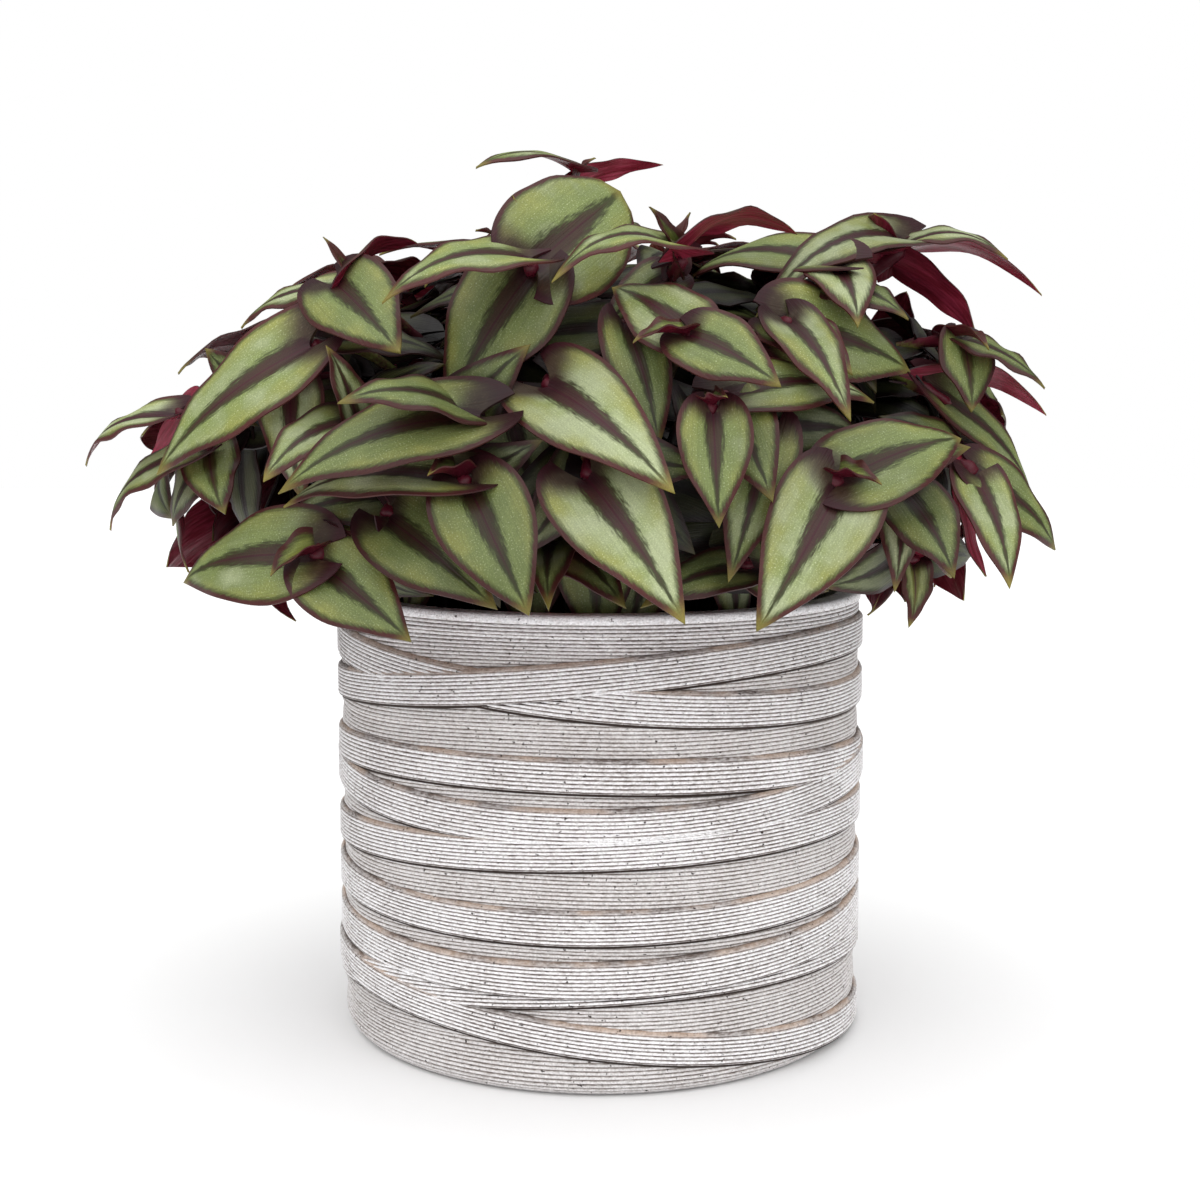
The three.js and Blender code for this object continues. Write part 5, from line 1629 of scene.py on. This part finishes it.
class PlantStage(bpy.types.PropertyGroup):
    floor: colour_prop("Floor", "Pale paper under the pot", "#efefef")
    around: FloatProperty(name="Light all round", description="Strength of the soft light all round",
                          default=0.7, min=0)
    mirrored: FloatProperty(name="Mirrored light", description="How much of it the wax of the leaves mirrors",
                            default=0.3, min=0, max=1)
    key: FloatProperty(name="Key light", description="Strength of the broad light above the front",
                       default=2.8, min=0)
    key_spread: FloatProperty(name="Key spread", description="How broad the key light looks from the plant",
                              default=math.radians(105), min=0, max=math.pi, subtype="ANGLE")
    key_tilt: FloatProperty(name="Key tilt", description="How far the key light leans to the front",
                            default=math.radians(26), min=0, max=math.pi / 2, subtype="ANGLE")


class PLANT_OT_pot_wall(bpy.types.Operator):
    """Builds the pot's ribbed wall, lip, inside and base"""
    bl_idname = "plant.pot_wall"
    bl_label = "Pot wall"

    def execute(self, context):
        wall = pot_wall(context.scene.plant_pot)
        finish_piece(wall, whitewashed_clay(context.scene.plant_pot), ["pot"])
        return {"FINISHED"}


class PLANT_OT_pot_straps(bpy.types.Operator):
    """Winds the ribbed straps round the pot, each over the ones that it crosses"""
    bl_idname = "plant.pot_straps"
    bl_label = "Pot straps"

    def execute(self, context):
        clay = bpy.data.materials["whitewashed_clay"]
        for order, name in enumerate(STRAPS):
            finish_piece(pot_strap(name, order, context.scene.plant_pot), clay, ["pot"])
        return {"FINISHED"}


class PLANT_OT_soil(bpy.types.Operator):
    """Fills the pot with soil and scatters crumbs on it"""
    bl_idname = "plant.soil"
    bl_label = "Soil"

    def execute(self, context):
        peat = potting_soil(context.scene.plant_soil)
        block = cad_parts["soil"]
        block.data.materials.clear()
        block.data.materials.append(peat)
        finish_piece(soil_top(), peat, [])
        finish_piece(soil_crumbs(), peat, [])
        return {"FINISHED"}


class PLANT_OT_leafy_stems(bpy.types.Operator):
    """Grows the leafy stems, each in the place of its node"""
    bl_idname = "plant.leafy_stems"
    bl_label = "Leafy stems"

    def execute(self, context):
        leaves = context.scene.plant_leaves
        plants = grow(leaves.seed, leaves.most)
        nodes = [name for name in sorted(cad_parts) if name.startswith("leafy_stem")]
        if len(plants) != len(nodes):
            raise RuntimeError(f"{len(plants)} stems were grown for {len(nodes)} nodes")
        finishes = [stem_skin(leaves), leaf_upper(leaves), leaf_under(leaves)]
        models = [flat_blade(*grid, finishes) for grid in (FINE_BLADE, DEEP_BLADE)]
        depths = iter(leaf_depths(plants))
        for number, (node, plant) in enumerate(zip(nodes, plants), 1):
            stem = stem_piece(f"shoot_{number:02d}", plant)
            for finish in finishes:
                stem.data.materials.append(finish)
            copies = [leaf_copy(models, blade, next(depths), number * SEED_STEP + order)
                      for order, blade in enumerate(plant["leaves"])]
            piece = join_pieces([stem] + copies, stem.name)
            finish_piece(piece, None, [node])
        for model in models:
            bpy.data.objects.remove(model)
        return {"FINISHED"}


# Stage
FLOOR_SIZE = 6
KEY_PLACE = (0, -0.5, 1)
SENSOR = 36


class PLANT_OT_stage(bpy.types.Operator):
    """Sets the pale floor, the soft light and the camera of the front view"""
    bl_idname = "plant.stage"
    bl_label = "Stage"

    def execute(self, context):
        stage = context.scene.plant_stage
        floor = start_piece(bpy.ops.mesh.primitive_plane_add, "floor", size=FLOOR_SIZE)
        floor.data.materials.append(studio_floor(stage))
        world = bpy.data.worlds.new("soft_light")
        world.use_nodes = True
        tree = world.node_tree
        tree.nodes["Background"].inputs["Color"].default_value = (1, 1, 1, 1)
        # white paper to look at, which lights the plant less than that and is mirrored less still
        ray = add_node(tree, "LightPath", give=None).outputs
        mirrored = stage.around * stage.mirrored
        lit = add_node(tree, "MapRange", (ray["Is Glossy Ray"], 0, 1, stage.around, mirrored))
        strength = add_node(tree, "MapRange", (ray["Is Camera Ray"], 0, 1, lit, 1))
        give_input(tree.nodes["Background"], "Strength", strength)
        context.scene.world = world
        bpy.ops.object.light_add(type="SUN", location=KEY_PLACE, rotation=(stage.key_tilt, 0, 0))
        lamp = context.object
        lamp.name = "key"
        lamp.data.energy = stage.key
        lamp.data.angle = stage.key_spread
        bpy.ops.object.camera_add(location=(0, -VIEW_DISTANCE * MM, VIEW_HEIGHT * MM),
                                  rotation=(math.pi / 2 - VIEW_PITCH, 0, 0))
        camera = context.object
        camera.name = "front_view"
        camera.data.sensor_width = SENSOR
        camera.data.lens = SENSOR * VIEW_FOCAL / IMAGE_SIDE
        context.scene.camera = camera
        context.scene.view_settings.view_transform = "Standard"
        return {"FINISHED"}


STEPS = (PLANT_OT_pot_wall, PLANT_OT_pot_straps, PLANT_OT_soil, PLANT_OT_leafy_stems, PLANT_OT_stage)
GROUPS = {"plant_pot": PlantPot, "plant_soil": PlantSoil, "plant_leaves": PlantLeaves,
          "plant_stage": PlantStage}


class PLANT_PT_steps(bpy.types.Panel):
    """The steps of the potted plant"""
    bl_idname = "PLANT_PT_steps"
    bl_label = "Potted tradescantia"
    bl_space_type = "VIEW_3D"
    bl_region_type = "UI"
    bl_category = "Plant"

    def draw(self, context):
        for step in STEPS:
            self.layout.operator(step.bl_idname)


def register():
    for group in GROUPS.values():
        bpy.utils.register_class(group)
    for name, group in GROUPS.items():
        setattr(bpy.types.Scene, name, PointerProperty(type=group))
    for step in STEPS:
        bpy.utils.register_class(step)
    bpy.utils.register_class(PLANT_PT_steps)


def unregister():
    bpy.utils.unregister_class(PLANT_PT_steps)
    for step in reversed(STEPS):
        bpy.utils.unregister_class(step)
    for name, group in reversed(list(GROUPS.items())):
        delattr(bpy.types.Scene, name)
        bpy.utils.unregister_class(group)


def main():
    register()
    bpy.ops.plant.pot_wall()
    bpy.ops.plant.pot_straps()
    bpy.ops.plant.soil()
    bpy.ops.plant.leafy_stems()
    bpy.ops.plant.stage()


if __name__ == "__main__":
    main()
